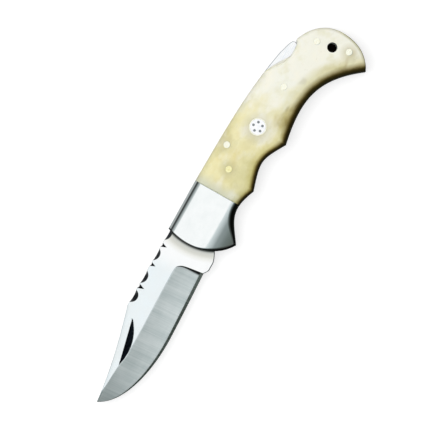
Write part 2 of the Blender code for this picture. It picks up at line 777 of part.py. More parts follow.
def crown_cutter(name, low, high, side, group):
    """What the bolster's crown leaves off: it falls away from the flat middle to the belly."""
    depth = high - low
    drops = np.linspace(CROWN_START, GUARD_DROP + OVERCUT, CROWN_STEPS)
    falls = CROWN_RADIUS - np.sqrt(CROWN_RADIUS**2 - (drops - CROWN_START) ** 2)
    crown = np.column_stack((-drops, depth - falls))
    above = crown[0] + (crown[0] - crown[1]) * (OVERCUT / 3 / falls[1])
    lid = depth + 2 * OVERCUT
    section = joined(above, crown[1:], (crown[-1][0], lid), (above[0], lid))
    half = HANDLE_REACH
    made = plate(name, section, -half, half, group)
    made.data.transform(Matrix(((0, 0, 1), (1, 0, 0), (0, 1, 0))).to_4x4())
    if side < 0:
        made.data.transform(Matrix.Diagonal((1, 1, -1, 1)))
        made.data.flip_normals()
    made.location = (0, 0, low if side > 0 else high)
    return made


def build():
    for obj in list(bpy.data.objects):
        bpy.data.objects.remove(obj, do_unlink=True)
    knife = bpy.data.collections.new("lockback_knife")
    tools = bpy.data.collections.new("cutters")
    for group in (knife, tools):
        bpy.context.scene.collection.children.link(group)

    steel = material("blade_steel", "C9D1D6", 0.28, 1.0)
    spring_steel = material("lock_steel", "C4CCD2", 0.3, 1.0)
    liner_steel = material("liner_steel", "8C8F8C", 0.35, 1.0)
    nickel = material("polished_bolster", "E6E8EA", 0.08, 1.0)
    bone = material("smooth_bone", "E9E3C2", 0.3, 0.0)
    pin_metal = material("pin_nickel", "D9D8C8", 0.2, 1.0)
    resin = material("mosaic_resin", "DDE6EC", 0.35, 0.0)
    rod_metal = material("mosaic_rod", "9AA0A6", 0.3, 1.0)

    def named(obj, look):
        obj.data.materials.clear()
        obj.data.materials.append(look)
        return into(knife, obj)

    pivot = bpy.data.objects.new("pivot_axis", None)
    rocker = bpy.data.objects.new("rocker_axis", None)
    rocker.location = (ROCKER_PIN[0], ROCKER_PIN[1], 0)
    for empty in (pivot, rocker):
        knife.objects.link(empty)
    bpy.context.view_layer.update()

    # Blade
    blade = named(plate("blade", blade_outline(), BLADE_FLOOR, BLADE_TOP, knife), steel)
    for side, name in ((1, "mark_grind"), (-1, "pile_grind")):
        cut(blade, grind_cutter(name, side, tools))
    cut(blade, nick_cutter(tools))
    for tool in file_cutters(tools):
        cut(blade, tool)
    blade.parent = pivot

    # Lock bar
    bar = named(plate("lock_bar", bar_outline(), BLADE_FLOOR, BLADE_TOP, knife), spring_steel)
    bar.parent = rocker
    bar.matrix_parent_inverse = rocker.matrix_world.inverted()

    spring = named(plate("lock_spring", spring_outline(), BLADE_FLOOR, BLADE_TOP, knife), spring_steel)
    spacer = named(plate("back_spacer", spacer_outline(), CAVITY_FLOOR, CAVITY_TOP, knife), liner_steel)
    face = BAR_END + BAR_END_GAP
    half = SPRING_THICK / 2 + RUNNING_FIT
    low, high = SPRING_ROOT_RISE - half, SPRING_ROOT_RISE + half
    mouth, end = face - OVERCUT, face + SPRING_ROOT_DEPTH
    slot_outline = [(mouth, low), (end, low), (end, high), (mouth, high)]
    slot = plate("spring_slot", slot_outline, CAVITY_FLOOR - OVERCUT, CAVITY_TOP + OVERCUT, tools)
    cut(spacer, slot)

    # Plates of the two sides
    pins = {
        "rocker_pin": ROCKER_PIN,
        "spring_pin": spring_pin(),
        "butt_pin_upper": UPPER_PIN,
        "butt_pin_lower": LOWER_PIN,
    }
    low, high = -OVERCUT, KNIFE_TOP + OVERCUT
    pin_bore = PIN_RADIUS + RUNNING_FIT
    through = {
        name: cylinder(f"{name}_hole", at, pin_bore, low, high, HOLE_SIDES, tools)
        for name, at in pins.items()
    }
    front_hole = cylinder("front_pin_hole", FRONT_PIN, pin_bore, low, high, HOLE_SIDES, tools)
    mosaic_bore = MOSAIC_RADIUS + RUNNING_FIT
    mosaic_hole = cylinder("mosaic_hole", MOSAIC_PIN, mosaic_bore, low, high, MOSAIC_SIDES, tools)
    lanyard_hole = cylinder("lanyard_hole", LANYARD, LANYARD_RADIUS, low, high, HOLE_SIDES, tools)
    pivot_bore = PIVOT_RADIUS + RUNNING_FIT
    depths = (PIVOT_COVER, KNIFE_TOP - PIVOT_COVER)
    pivot_hole = cylinder("pivot_hole", (0, 0), pivot_bore, *depths, HOLE_SIDES, tools)
    cut(blade, pivot_hole)
    cut(bar, through["rocker_pin"])
    for name in ("butt_pin_upper", "butt_pin_lower"):
        cut(spacer, through[name])
    cut(spacer, lanyard_hole)

    sides = (
        ("mark", 1, CAVITY_TOP, MARK_LINER_TOP, MARK_LINER_TOP, KNIFE_TOP),
        ("pile", -1, PILE_LINER, CAVITY_FLOOR, 0.0, PILE_LINER),
    )
    for word, side, liner_low, liner_high, cover_low, cover_high in sides:
        liner = named(plate(f"{word}_liner", liner_outline(), liner_low, liner_high, knife), liner_steel)
        inside, outside = (cover_low, cover_high) if side > 0 else (cover_high, cover_low)
        front, rear = bolster_outline(), scale_outline()
        bolster = rounded_plate(f"{word}_bolster", front, bolster_rim(front), inside, outside, knife)
        named(bolster, nickel)
        sunk = outside - side * SCALE_STEP
        scale = rounded_plate(f"{word}_scale", rear, scale_rim(rear), inside, sunk, knife)
        named(scale, bone)
        cut(bolster, crown_cutter(f"{word}_crown", cover_low, cover_high, side, tools))
        cut(bolster, pivot_hole)
        cut(liner, pivot_hole)
        for tool in (*through.values(), front_hole, mosaic_hole, lanyard_hole):
            cut(liner, tool)
            cut(scale, tool)

        # Short pins that stop at the liner's inner face, out of the blade's way
        inner = CAVITY_TOP if side > 0 else CAVITY_FLOOR
        outer = KNIFE_TOP - PIN_SINK if side > 0 else PIN_SINK
        short_low, short_high = min(inner, outer), max(inner, outer)
        short = pin(f"{word}_front_pin", FRONT_PIN, PIN_RADIUS, short_low, short_high, HOLE_SIDES, knife)
        named(short, pin_metal)
        span = (short_low, short_high, MOSAIC_SIDES, knife)
        tube = cylinder(f"{word}_mosaic_tube", MOSAIC_PIN, MOSAIC_RADIUS, *span)
        bore_radius = MOSAIC_RADIUS - MOSAIC_WALL
        past = (short_low - OVERCUT, short_high + OVERCUT)
        cut(tube, cylinder(f"{word}_tube_bore", MOSAIC_PIN, bore_radius, *past, MOSAIC_SIDES, tools))
        named(tube, pin_metal)
        core = cylinder(f"{word}_mosaic_core", MOSAIC_PIN, bore_radius - RUNNING_FIT, *span)
        named(core, resin)
        for number in range(MOSAIC_ROD_COUNT):
            angle = MOSAIC_TURN + 2 * math.pi * number / MOSAIC_ROD_COUNT
            at = (
                MOSAIC_PIN[0] + MOSAIC_ROD_RING * math.cos(angle),
                MOSAIC_PIN[1] + MOSAIC_ROD_RING * math.sin(angle),
            )
            bore_name, rod_name = f"{word}_rod_bore_{number + 1}", f"{word}_mosaic_rod_{number + 1}"
            cut(core, cylinder(bore_name, at, MOSAIC_ROD_RADIUS + RUNNING_FIT, *past, ROD_SIDES, tools))
            rod = cylinder(rod_name, at, MOSAIC_ROD_RADIUS, short_low, short_high, ROD_SIDES, knife)
            named(rod, rod_metal)

    # Pins through the whole knife
    for name, at in pins.items():
        named(pin(name, at, PIN_RADIUS, PIN_SINK, KNIFE_TOP - PIN_SINK, HOLE_SIDES, knife), pin_metal)
    low, high = PIVOT_COVER + PIVOT_END_GAP, KNIFE_TOP - PIVOT_COVER - PIVOT_END_GAP
    named(pin("pivot_pin", (0, 0), PIVOT_RADIUS, low, high, HOLE_SIDES, knife), pin_metal)

    bpy.context.view_layer.update()
    for obj in knife.objects:
        if obj.type == "MESH":
            settle(obj, GROUND_CREASE if obj == blade else ROUND_CREASE)


build()
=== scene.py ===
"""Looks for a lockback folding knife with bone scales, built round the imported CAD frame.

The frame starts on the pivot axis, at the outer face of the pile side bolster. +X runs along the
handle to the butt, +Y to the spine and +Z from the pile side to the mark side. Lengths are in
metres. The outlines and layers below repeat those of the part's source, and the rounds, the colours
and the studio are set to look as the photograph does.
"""

import math

import bmesh
import bpy
import numpy as np
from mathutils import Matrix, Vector, geometry


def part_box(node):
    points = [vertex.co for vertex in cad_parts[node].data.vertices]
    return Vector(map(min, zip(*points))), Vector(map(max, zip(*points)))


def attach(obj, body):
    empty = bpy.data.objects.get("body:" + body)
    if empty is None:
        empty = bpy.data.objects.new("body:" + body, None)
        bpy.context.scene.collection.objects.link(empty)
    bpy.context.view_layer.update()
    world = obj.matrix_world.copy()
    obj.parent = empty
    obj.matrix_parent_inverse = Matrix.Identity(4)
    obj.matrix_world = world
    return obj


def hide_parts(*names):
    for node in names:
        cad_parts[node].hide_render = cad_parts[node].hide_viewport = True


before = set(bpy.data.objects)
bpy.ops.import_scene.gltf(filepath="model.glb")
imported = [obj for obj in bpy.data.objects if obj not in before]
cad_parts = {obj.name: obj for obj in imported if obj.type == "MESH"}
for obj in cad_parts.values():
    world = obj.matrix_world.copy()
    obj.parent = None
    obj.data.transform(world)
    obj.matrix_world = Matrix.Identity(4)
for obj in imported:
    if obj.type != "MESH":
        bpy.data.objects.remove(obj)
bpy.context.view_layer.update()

MM = 0.001

# Layers across the knife
KNIFE_TOP = 15.0 * MM
MID_PLANE = 7.5 * MM
MARK_LINER_TOP = 10.5 * MM
MARK_CAVITY_TOP = 9.2 * MM
SCALE_STEP = 0.2 * MM
BLADE_HALF = 1.6 * MM
BLADE_TOP = MID_PLANE + BLADE_HALF

# Blade outline
TIP = (-89.5 * MM, 4.7 * MM)
CLIP_CORNER = (-45.3 * MM, 13.95 * MM)
DEEPEST = (-50.0 * MM, -9.85 * MM)
HEEL = (-17.0 * MM, -8.45 * MM)
KICK_FRONT = (-14.0 * MM, -9.9 * MM)
KICK_BACK = (-11.0 * MM, -9.9 * MM)
TANG_RADIUS = 6.7 * MM
SHOULDER = -2.5 * MM
SHOULDER_STEP = 0.02 * MM
PIVOT_BORE = 2.44 * MM

# Stations along the blade: the tip's run, then runs from, to and spacing, the least spacing, and how
# many stations crowd towards the tip and towards the end of the tang
TIP_RUN = 14.0 * MM
STATION_RUNS = (
    (TIP[0] + TIP_RUN, -30.0 * MM, 0.27 * MM),
    (-30.0 * MM, -19.0 * MM, 0.2 * MM),
    (-19.0 * MM, HEEL[0], 0.07 * MM),
    (HEEL[0], SHOULDER, 0.2 * MM),
)
STATION_GAP = 0.004 * MM
TIP_STATIONS = 60
TANG_STATIONS = 40

# Blade grinds
GRIND_START = (-20.5 * MM, 3.7 * MM)
GRIND_TURN = (-67.0 * MM, 3.5 * MM)
GRIND_RUNOUT = -85.0 * MM
GRIND_ABOVE_TIP = 1.0 * MM
WHEEL_RADIUS = 100.0 * MM
EDGE_LAND = 0.03 * MM
EDGE_BEVEL = 1.55 * MM
EDGE_BEVEL_FADE = 24.0 * MM
EDGE_BEVEL_LEAST = 0.2 * MM
EDGE_SLOPE = math.tan(math.radians(12))
PLUNGE_RUN = 1.9 * MM
PLUNGE_LEAN = 1.7 * MM
PLUNGE_CORNER = 1.8 * MM
PLUNGE_EASE = ((-32.0 * MM, -18.6 * MM), (-16.9 * MM, -11.5 * MM))
# Painted shade in the plunge's corner: its width at the grind line, the width it gains down to the edge, and
# its fade in shares of that width
PLUNGE_DARK = (0.3 * MM, 1.6 * MM)
PLUNGE_DARK_FADE = (0.5, 1.2)
FALSE_EDGE = 1.2 * MM
FALSE_EDGE_SLOPE = 0.06

# Rows across the blade's side in each zone, and how they crowd towards the zone's low or high end. The
# shares of the blade's height below them keep rows apart where it runs out: the most for the bevel's
# top, the grind line and the nick's edge, the least between the last two, and the most for the nick's
# wall. NICK_ROOM is what stays free above the grind line and below the clip, as shares of the height
# between them.
ROW_STEPS = (7, 20, 22, 1, 12)
ROW_POWERS = (1.8, 1.0, 1.0, 1.0, -1.6)
KICK_ROWS = 3
BEVEL_MOST = 0.45
GRIND_MOST = 0.9
NICK_MOST = 0.96
NICK_LEAST = 0.02
WALL_MOST = 0.01
NICK_ROOM = (0.2, 0.12)

# Nail nick: a leaning wheel's cut, with its straight edge towards the clip
NICK_REACH = -59.9 * MM
NICK_HALF = 11.0 * MM
NICK_DEPTH = 0.78 * MM
NICK_BELOW_CLIP = 3.2 * MM
NICK_SLOPE = math.radians(13.4)
NICK_LEAN = math.radians(15)
NICK_WALL = 0.19 * MM

# File work on the spine: reach, width and depth on the mark side in millimetres, the far side's share of
# that depth, the least depth that is coloured as a cut, and the share of the blade's height from which
# its rows give way to a cut
CRESCENTS = ((-40.8, 6.1, 2.4), (-31.2, 6.3, 1.95), (-19.9, 6.0, 1.75), (-9.4, 6.4, 1.8))
NOTCHES = ((-35.8, 2.3, 3.0), (-24.7, 2.0, 2.4), (-15.0, 2.1, 2.6))
FILE_FAR_SHARE = 0.16
CUT_LEAST = 0.02 * MM
CUT_ROOM = 0.55

# Handle outline
FRONT_TOP = (-7.3 * MM, 14.75 * MM)
JOINT_TOP = (16.9 * MM, 14.9 * MM)
GUARD = (0.9 * MM, -14.8 * MM)
FRONT_CUSP = (25.2 * MM, -9.85 * MM)
REAR_CUSP = (50.1 * MM, -12.15 * MM)
HANDLE_REACH = 105.423 * MM
BUTT_CORNER = (HANDLE_REACH - 10.0 * MM, -26.8 * MM)
BUTT_HEEL = (HANDLE_REACH - 7.9 * MM, -25.7 * MM)
BUTT_END = (HANDLE_REACH, -8.9 * MM)
BUTT_TOP = (HANDLE_REACH - 11.9 * MM, 6.5 * MM)
BAR_END = (HANDLE_REACH - 13.4 * MM, 7.55 * MM)
BAR_BEND = (HANDLE_REACH - 20.4 * MM, 10.1 * MM)
THUMB_FLOOR = (HANDLE_REACH - 16.9 * MM, 5.28 * MM)
THUMB_START = HANDLE_REACH - 32.4 * MM

# Rounded edges, how far the painted shade lies from the bolster's edges, its crown and the scale's swell.
# The painted shade is a dark band that stands for shade and dark reflections on the bolster's rounds. At
# the belly its reach is a share of the belly's round, and the guard's values fade in over GUARD_FADE's
# heights and GUARD_RUN's reaches. The painted shade thins out over its fades, and the wall's pair is how
# much of the front's and the belly's is left at the foot of the walls. SOFTEN_MOST is the share of the
# blade's half thickness that its rounds can take.
SPINE_ROUND = 3.1 * MM
BELLY_ROUND = 2.4 * MM
BOLSTER_BELLY_ROUND = 3.0 * MM
GUARD_BELLY_ROUND = 1.7 * MM
BUTT_ROUND = 1.5 * MM
THUMB_ROUND = 1.0 * MM
FRONT_ROUND = 0.85 * MM
GUARD_FRONT_ROUND = 1.7 * MM
SHADE_REACH = 0.8 * MM
GUARD_SHADE_REACH = 1.7 * MM
BELLY_SHADE = 0.9
SPINE_SHADE = 1.3 * MM
SPINE_SHADE_HALF = 0.5 * MM
SPINE_SHADE_PEAK = 1.15
SHADE_FADE = (0.5, 1.0)
BELLY_SHADE_FADE = (0.6, 1.15)
WALL_SHADE = (0.25, 0.9)
GUARD_FADE = (1.0 * MM, -9.0 * MM)
GUARD_RUN = (1.0 * MM, 8.0 * MM)
JOINT_ROUND = 0.32 * MM
KICK_ROUND = 0.25 * MM
BLADE_SOFTEN = 0.12 * MM
SOFTEN_MOST = 0.6
CROWN_RADIUS = 24.0 * MM
CROWN_START = -3.0 * MM
SWELL_FALL = 0.25 * MM
SWELL_WIDTH = 7.0 * MM

# Points of the covers' faces, mostly with how far they crowd to both ends: along and across the bolster,
# then along the scale's belly to the front cusp, to the rear cusp and by a power to the butt, and across
# it. The rings are cells from a hole's middle to its edge both ways, and how many times as far it eases.
BOLSTER_POINTS = ((150, 0.8), (150, 0.9))
GROOVE_POINTS = 26
MIDDLE_POINTS = (74, 0.5)
REAR_POINTS = 170
REAR_POWER = 1.5
SCALE_POINTS_ACROSS = (84, 0.85)
PIVOT_RING = ((9, 9), 2.2)
LANYARD_RING = ((9, 6), 2.4)

# Angles past which an edge is shaded sharp, and how near two points are one
CREASE = math.radians(28)
COVER_CREASE = math.radians(38)
MERGE_GAP = 0.0003 * MM

# Painted shade on the bone's rounded belly edge, for its shade and dark reflections: its reach from
# the belly edge, and the share of it by place along the handle in millimetres. At the butt it is narrow,
# and goes from the first share high up to both together low down.
EDGE_SHADE_REACH = 9.0 * MM
EDGE_SHADE_WIDTHS = ((24, 0.55), (28, 0.63), (47, 0.65), (56, 1.0))
BUTT_SHADE_REACH = 1.2 * MM
BUTT_SHADE_FADE = (-2.0 * MM, -14.0 * MM)
BUTT_SHADE = (0.12, 0.64)

# Painted shade on the lanyard hole's wall: its level at the inner face, and where it ends, in radii of the
# hole
HOLE_SHADE = 2.0
HOLE_SHADE_END = 2.5

# Painted shade on the blade's flats before the bolster's front, a little warm like a painted reflection: its
# reach from the bolster's front, and its tint by level
PAINTED_SHADE_REACH = 5.5 * MM
PAINTED_SHADE = (
    (0.0, "FFFFFF"),
    (1.0, "0C0D0C"),
    (0.3, "F4F3EE"),
    (0.56, "DDDCD4"),
    (0.78, "D2D2CC"),
    (0.86, "B8BAB5"),
    (0.93, "7A7D79"),
    (0.97, "2C2F2C"),
)

# Clouds of the bone in millimetres: reach, rise, half length and half width, then turn in degrees,
# strength and colour. STAIN_DEPTH is how far they go in, in millimetres too, and STAIN_DRIFT how far
# noise bends their outlines.
STAIN_DRIFT = 8 * MM
STAIN_DEPTH = 6.0
STAINS = (
    (29.0, -1.5, 18.0, 10.0, 8, 0.6, "C8C38A"),
    (33.0, 5.5, 12.0, 4.0, 20, 0.35, "E0D18E"),
    (40.0, 12.0, 13.0, 3.4, -3, 0.75, "CFC68C"),
    (21.0, -6.0, 6.5, 3.6, -15, 0.6, "C6C194"),
    (45.0, 2.0, 7.0, 8.0, 0, 0.7, "DFD7A4"),
    (72.0, 1.0, 9.0, 7.0, 0, 0.45, "F1F3EA"),
    # The pale grey cloud by the joint is a painted highlight.
    (19.5, -1.5, 3.5, 5.0, 0, 0.5, "E6E8E0"),
    (60.5, -6.0, 9.5, 4.6, -8, 0.65, "C6B97E"),
    (59.0, -4.8, 5.0, 2.8, 20, 0.4, "A5975C"),
    (63.6, -4.8, 2.6, 1.6, 0, 0.3, "8F8A68"),
    (78.3, -3.7, 4.6, 2.6, 15, 0.3, "AFAA92"),
    (88.0, -11.0, 9.0, 4.0, -45, 0.35, "DACFA0"),
    (94.5, -17.4, 7.0, 2.2, -14, 0.45, "C2B078"),
)

# Painted shadows round the pins in millimetres: reach, rise and radius, then strength and colour
PIN_SHADOWS = (
    (28.4, 4.5, 5.0, 1.0, "C4BD8C"),
    (37.4, 10.6, 5.0, 0.6, "C4BD8C"),
    (50.3, 2.1, 8.0, 1.0, "C4C0A4"),
    (99.0, -16.5, 4.8, 1.0, "CCC6A2"),
)

# Tint of the bone by how much painted shade it has: straw, tan, brown and brown black. A colour ramp's
# two own stops, unshaded and darkest, come first.
EDGE_SHADE = (
    (0.0, "FFFFFF"),
    (1.0, "27230D"),
    (0.49, "E8E5C9"),
    (0.64, "BAB28E"),
    (0.73, "7F744E"),
    (0.8, "4B401D"),
    (0.87, "2A2405"),
)

# Lock bar: the nose's front, back and underside come first. FACE_INSET is where its flat face starts, in
# radii of the softened edge.
NOSE = (-2.2 * MM, 1.8 * MM, 7.0 * MM)
BAR_UNDER = 8.79 * MM
ROCKER = (37.4 * MM, 10.6 * MM)
HUB_RADIUS = 3.6 * MM
REAR_WEB = 8.2 * MM
PADDLE = 4.58 * MM
PADDLE_RUN = 11.0 * MM
PADDLE_RAMP = 7.0 * MM
PADDLE_UNDERCUT = 0.7 * MM
BAR_END_BACK = (BAR_END[0] - 0.25 * MM, 6.5 * MM)
BAR_END_ROUND = 1.1 * MM
BAR_SOFTEN = 0.3 * MM
FACE_INSET = 1.3
PIN_BORE = 1.54 * MM

# Pins: domes and edges of a hundredth of a millimetre, as the buff leaves them
PIN_RADIUS = 1.5 * MM
PIN_TOP = 14.95 * MM
PIN_DOME = 0.01 * MM
PIN_EDGE = 0.012 * MM
TUBE_EDGE = 0.03 * MM
LANYARD = (HANDLE_REACH - 8.0 * MM, -8.7 * MM)
LANYARD_RADIUS = 2.25 * MM
MOSAIC_PIN = (50.9 * MM, 2.6 * MM)
MOSAIC_RADIUS = 3.9 * MM
MOSAIC_BORE = 3.48 * MM
MOSAIC_CORE = 3.44 * MM
ROD_RADIUS = 0.6 * MM
ROD_RING = 2.1 * MM
ROD_COUNT = 5
ROD_TURN = math.radians(22)
ROD_PROUD = 0.02 * MM

# Camera, over the middle of the photograph
FRAME_CENTRE = (7.95 * MM, -0.11 * MM)
FRAME_WIDTH = 189.2 * MM
FRAME_HEIGHT = 12.0 * MM
FRAME_TURN = math.radians(60.5)
LENS = 400.0
SENSOR = 36.0

# Studio: light levels, the lamp, and the greys of the tent by degrees from overhead towards the belly
# side, with its ramp's two own stops first. The tent's ends, over the tip and the butt, are one grey.
FLOOR_HALF = 1.5
FLOOR_GLOW = 0.66
ROOM_LIGHT = 0.62
LAMP_SIZE = 0.5
LAMP_POWER = 3.2
LAMP_PLACE = (-0.05, 0.2, 0.7)
TENT_RADIUS = 0.9
TENT_ENDS = (math.radians(36), math.radians(62))
TENT_END_GREY = "9CA3A3"
TENT_GREYS = (
    (-90, "B4BABA"),
    (90, "A6ACAA"),
    (-66, "A0A7A7"),
    (-52, "777F7F"),
    (-30, "A8AFAF"),
    (-14, "D2D8D8"),
    (-7, "F6F8F8"),
    (2, "FEFFFF"),
    (5, "D1DADB"),
    (19, "8B9595"),
    (34, "6C7673"),
    (52, "5A605A"),
    (64, "7E8481"),
)
CARD_HALF = 0.88
CARD_FADE = (-2.0 * MM, 22.0 * MM)
CARD_GREYS = ("747A76", "A8ADAD")
CARD_LIFT = 0.04 * MM
DOT_RADIUS = 3.2 * MM


# Lines


def bend(start, end, first, second, steps):
    """Cubic curve from start to end: each handle is a share along the chord and one square to it."""
    start, end = np.array(start), np.array(end)
    chord = end - start
    square = np.array((-chord[1], chord[0]))
    one = start + first[0] * chord + first[1] * square
    two = start + second[0] * chord + second[1] * square
    t = np.linspace(0, 1, steps)[:, None]
    return (1 - t) ** 3 * start + 3 * t * (1 - t) ** 2 * one + 3 * t**2 * (1 - t) * two + t**3 * end


def joined(*runs):
    """Runs of points one after the other, without the points that repeat."""
    line = np.concatenate([np.atleast_2d(np.array(run, float)) for run in runs])
    moved = np.linalg.norm(np.diff(line, axis=0), axis=1) > 1e-9
    return line[np.concatenate(([True], moved))]


def lengths(line):
    """Distance run along a line of points at each of them."""
    return np.concatenate(([0.0], np.cumsum(np.linalg.norm(np.diff(line, axis=0), axis=1))))


def along(line, shares):
    """Points of a line at shares of its length."""
    run = lengths(line)
    return np.column_stack([np.interp(shares * run[-1], run, line[:, k]) for k in (0, 1)])


def height_at(line, x):
    """Height of a line of points at x."""
    order = np.argsort(line[:, 0])
    return np.interp(x, line[order, 0], line[order, 1])


def stretch(line, low, high):
    """The part of a line between x = low and x = high, in the line's own order."""
    kept = line[(line[:, 0] > low + 1e-7) & (line[:, 0] < high - 1e-7)]
    ends = [(low, height_at(line, low)), (high, height_at(line, high))]
    rising = line[-1, 0] > line[0, 0]
    return joined(ends[0], kept, ends[1]) if rising else joined(ends[1], kept, ends[0])


def circle(centre, radius, steps=32):
    """Points of a circle, without the one that closes it."""
    turns = np.linspace(0, 2 * math.pi, steps + 1)[:-1]
    return np.column_stack((centre[0] + radius * np.cos(turns), centre[1] + radius * np.sin(turns)))


EDGE = joined(
    bend(TIP, DEEPEST, (0.239, -0.22), (0.73, -0.105), 200),
    bend(DEEPEST, HEEL, (0.33, -0.005), (0.67, -0.004), 80),
)
CLIP = bend(TIP, CLIP_CORNER, (0.332, -0.039), (0.668, -0.026), 160)
KICK = joined(
    bend(HEEL, KICK_FRONT, (0.3, -0.05), (0.7, -0.2), 24),
    KICK_BACK,
    bend(KICK_BACK, (SHOULDER, -math.sqrt(TANG_RADIUS**2 - SHOULDER**2)), (0.3, -0.07), (0.6, 0.0), 40),
)
SPINE_RUN = joined(
    bend(JOINT_TOP, BAR_BEND, (0.333, 0.017), (0.668, 0.045), 160),
    bend(BAR_BEND, BAR_END, (0.333, 0.005), (0.67, 0.073), 50),
)
FRONT = bend(GUARD, FRONT_TOP, (0.275, 0.268), (0.718, 0.216), 120)
GROOVE = bend(GUARD, FRONT_CUSP, (0.429, 0.184), (0.554, 0.301), 120)
BELLY_FRONT = bend(FRONT_CUSP, REAR_CUSP, (0.517, 0.216), (0.519, 0.223), 100)
BELLY_REAR = bend(REAR_CUSP, BUTT_CORNER, (0.389, 0.221), (0.631, 0.256), 200)
BUTT = joined(
    BUTT_CORNER,
    bend(BUTT_HEEL, BUTT_END, (0.35, -0.193), (0.646, -0.159), 90),
    bend(BUTT_END, BUTT_TOP, (0.324, -0.225), (0.671, -0.197), 100),
)
THUMB = joined(
    bend(BUTT_TOP, THUMB_FLOOR, (0.18, -0.164), (0.226, 0.189), 40),
    bend(THUMB_FLOOR, (THUMB_START, height_at(SPINE_RUN, THUMB_START)), (0.511, 0.228), (0.615, -0.004), 80),
)
SCALE_SPINE = stretch(SPINE_RUN, JOINT_TOP[0], THUMB_START)
BOLSTER_BELLY = stretch(GROOVE, GUARD[0], JOINT_TOP[0])
SCALE_GROOVE = stretch(GROOVE, JOINT_TOP[0], FRONT_CUSP[0])


# Surfaces


def smooth(low, high, x):
    """Eased share from 0 at low to 1 at high: three times its square less twice its cube."""
    t = np.clip((x - low) / (high - low), 0, 1)
    return t * t * (3 - 2 * t)


def patch(bottom, top, left, right, us, vs):
    """Sheet between four lines: the blend of bottom and top and that of left and right, less the blend
    of the four corners. us and vs are shares of the lines' lengths."""
    low, high, near, far = along(bottom, us), along(top, us), along(left, vs), along(right, vs)
    u, v = us[:, None, None], vs[None, :, None]
    across = (1 - v) * low[:, None] + v * high[:, None]
    length = (1 - u) * near[None] + u * far[None]
    corners = (1 - u) * ((1 - v) * low[0] + v * high[0]) + u * ((1 - v) * low[-1] + v * high[-1])
    return across + length - corners


def distance(points, line):
    """Shortest distance from each point to a line of points, taken over all its segments at once."""
    starts, runs = line[:-1], np.diff(line, axis=0)
    flat = points.reshape(-1, 2).astype(np.float32)
    best = np.full(len(flat), np.inf, np.float32)
    for part in np.array_split(np.arange(len(starts)), min(12, len(starts))):
        away = flat[:, None] - starts[None, part].astype(np.float32)
        run = runs[part].astype(np.float32)
        t = np.clip((away * run).sum(2) / (run**2).sum(1), 0, 1)
        best = np.minimum(best, np.linalg.norm(away - t[..., None] * run, axis=2).min(1))
    return best.reshape(points.shape[:-1]).astype(float)


def round_drop(away, width):
    """How far a quarter round of this width lies below the face, at a distance from its edge."""
    inside = np.clip(width - away, 0, width)
    return width - np.sqrt(width**2 - inside**2)


def open_hole(sheet, centre, radius, reach, span):
    """Moves the points of a sheet away from a hole's centre, so that a ring of its cells becomes the
    hole's edge and the rings round it ease back. Gives the cells that are left out."""
    i, j = np.unravel_index(np.argmin(((sheet - centre) ** 2).sum(2)), sheet.shape[:2])
    ring = np.maximum(
        np.abs(np.arange(sheet.shape[0]) - i)[:, None] / reach[0],
        np.abs(np.arange(sheet.shape[1]) - j)[None] / reach[1],
    )
    away = sheet - sheet[i, j]
    far = np.linalg.norm(away, axis=2)
    eased = smooth(1, span, ring)
    moved = centre + away / np.maximum(far, 1e-12)[..., None] * radius
    near = (ring >= 1) & (ring <= span)
    share = eased[..., None]
    sheet[near] = (moved * (1 - share) + sheet * share)[near]
    kept = np.ones((sheet.shape[0] - 1, sheet.shape[1] - 1), bool)
    kept[i - reach[0] : i + reach[0], j - reach[1] : j + reach[1]] = False
    return kept


def slab(name, top, bottom, kept=None):
    """Closed solid between two sheets of points with the same rows: their cells, and a wall wherever
    only one of two neighbouring cells is kept. Gives the object and, for each face, the row and column
    of its cell and whether it is on the top (0), the bottom (1) or a wall (2)."""
    rows, columns = top.shape[:2]
    kept = np.ones((rows - 1, columns - 1), bool) if kept is None else kept
    index = np.arange(rows * columns).reshape(rows, columns)
    under = index + rows * columns
    i, j = np.nonzero(kept)
    upper = np.column_stack((index[i, j], index[i + 1, j], index[i + 1, j + 1], index[i, j + 1]))
    lower = np.column_stack((under[i, j], under[i, j + 1], under[i + 1, j + 1], under[i + 1, j]))
    padded = np.pad(kept, 1)
    faces, cells = [upper, lower], [np.column_stack((i, j, 0 * i)), np.column_stack((i, j, 0 * i + 1))]
    for after, before, step in (
        (padded[1:, 1:-1], padded[:-1, 1:-1], (0, 1)),
        (padded[1:-1, 1:], padded[1:-1, :-1], (1, 0)),
    ):
        for present, absent, turn in ((after, before, step[0] == 0), (before, after, step[0] == 1)):
            a, b = np.nonzero(present & ~absent)
            here, there = (a, b), (a + step[0], b + step[1])
            one, two = (there, here) if turn else (here, there)
            wall = np.column_stack((index[one], index[two], under[two], under[one]))
            faces.append(wall)
            cells.append(np.column_stack((np.minimum(a, rows - 2), np.minimum(b, columns - 2), 0 * a + 2)))
    points = np.concatenate((top.reshape(-1, 3), bottom.reshape(-1, 3)))
    return solid(name, points, np.concatenate(faces)), np.concatenate(cells)


def ring_walls(count, sides):
    """Four-sided faces between this many rings of points, each with this many sides."""
    here = np.arange(sides)
    there = (here + 1) % sides
    rows = np.arange(count - 1)[:, None] * sides
    walls = (rows + here, rows + there, rows + sides + there, rows + sides + here)
    return np.stack(walls, axis=2).reshape(-1, 4)


def solid(name, points, faces):
    """Mesh object from arrays of points and four-sided faces."""
    mesh = bpy.data.meshes.new(name)
    mesh.from_pydata(points, [], faces)
    obj = bpy.data.objects.new(name, mesh)
    bpy.context.scene.collection.objects.link(obj)
    return obj


def mark(obj, name, values):
    """Stores one number for each point."""
    held = obj.data.attributes.new(name, "FLOAT", "POINT")
    held.data.foreach_set("value", np.asarray(values, np.float32))


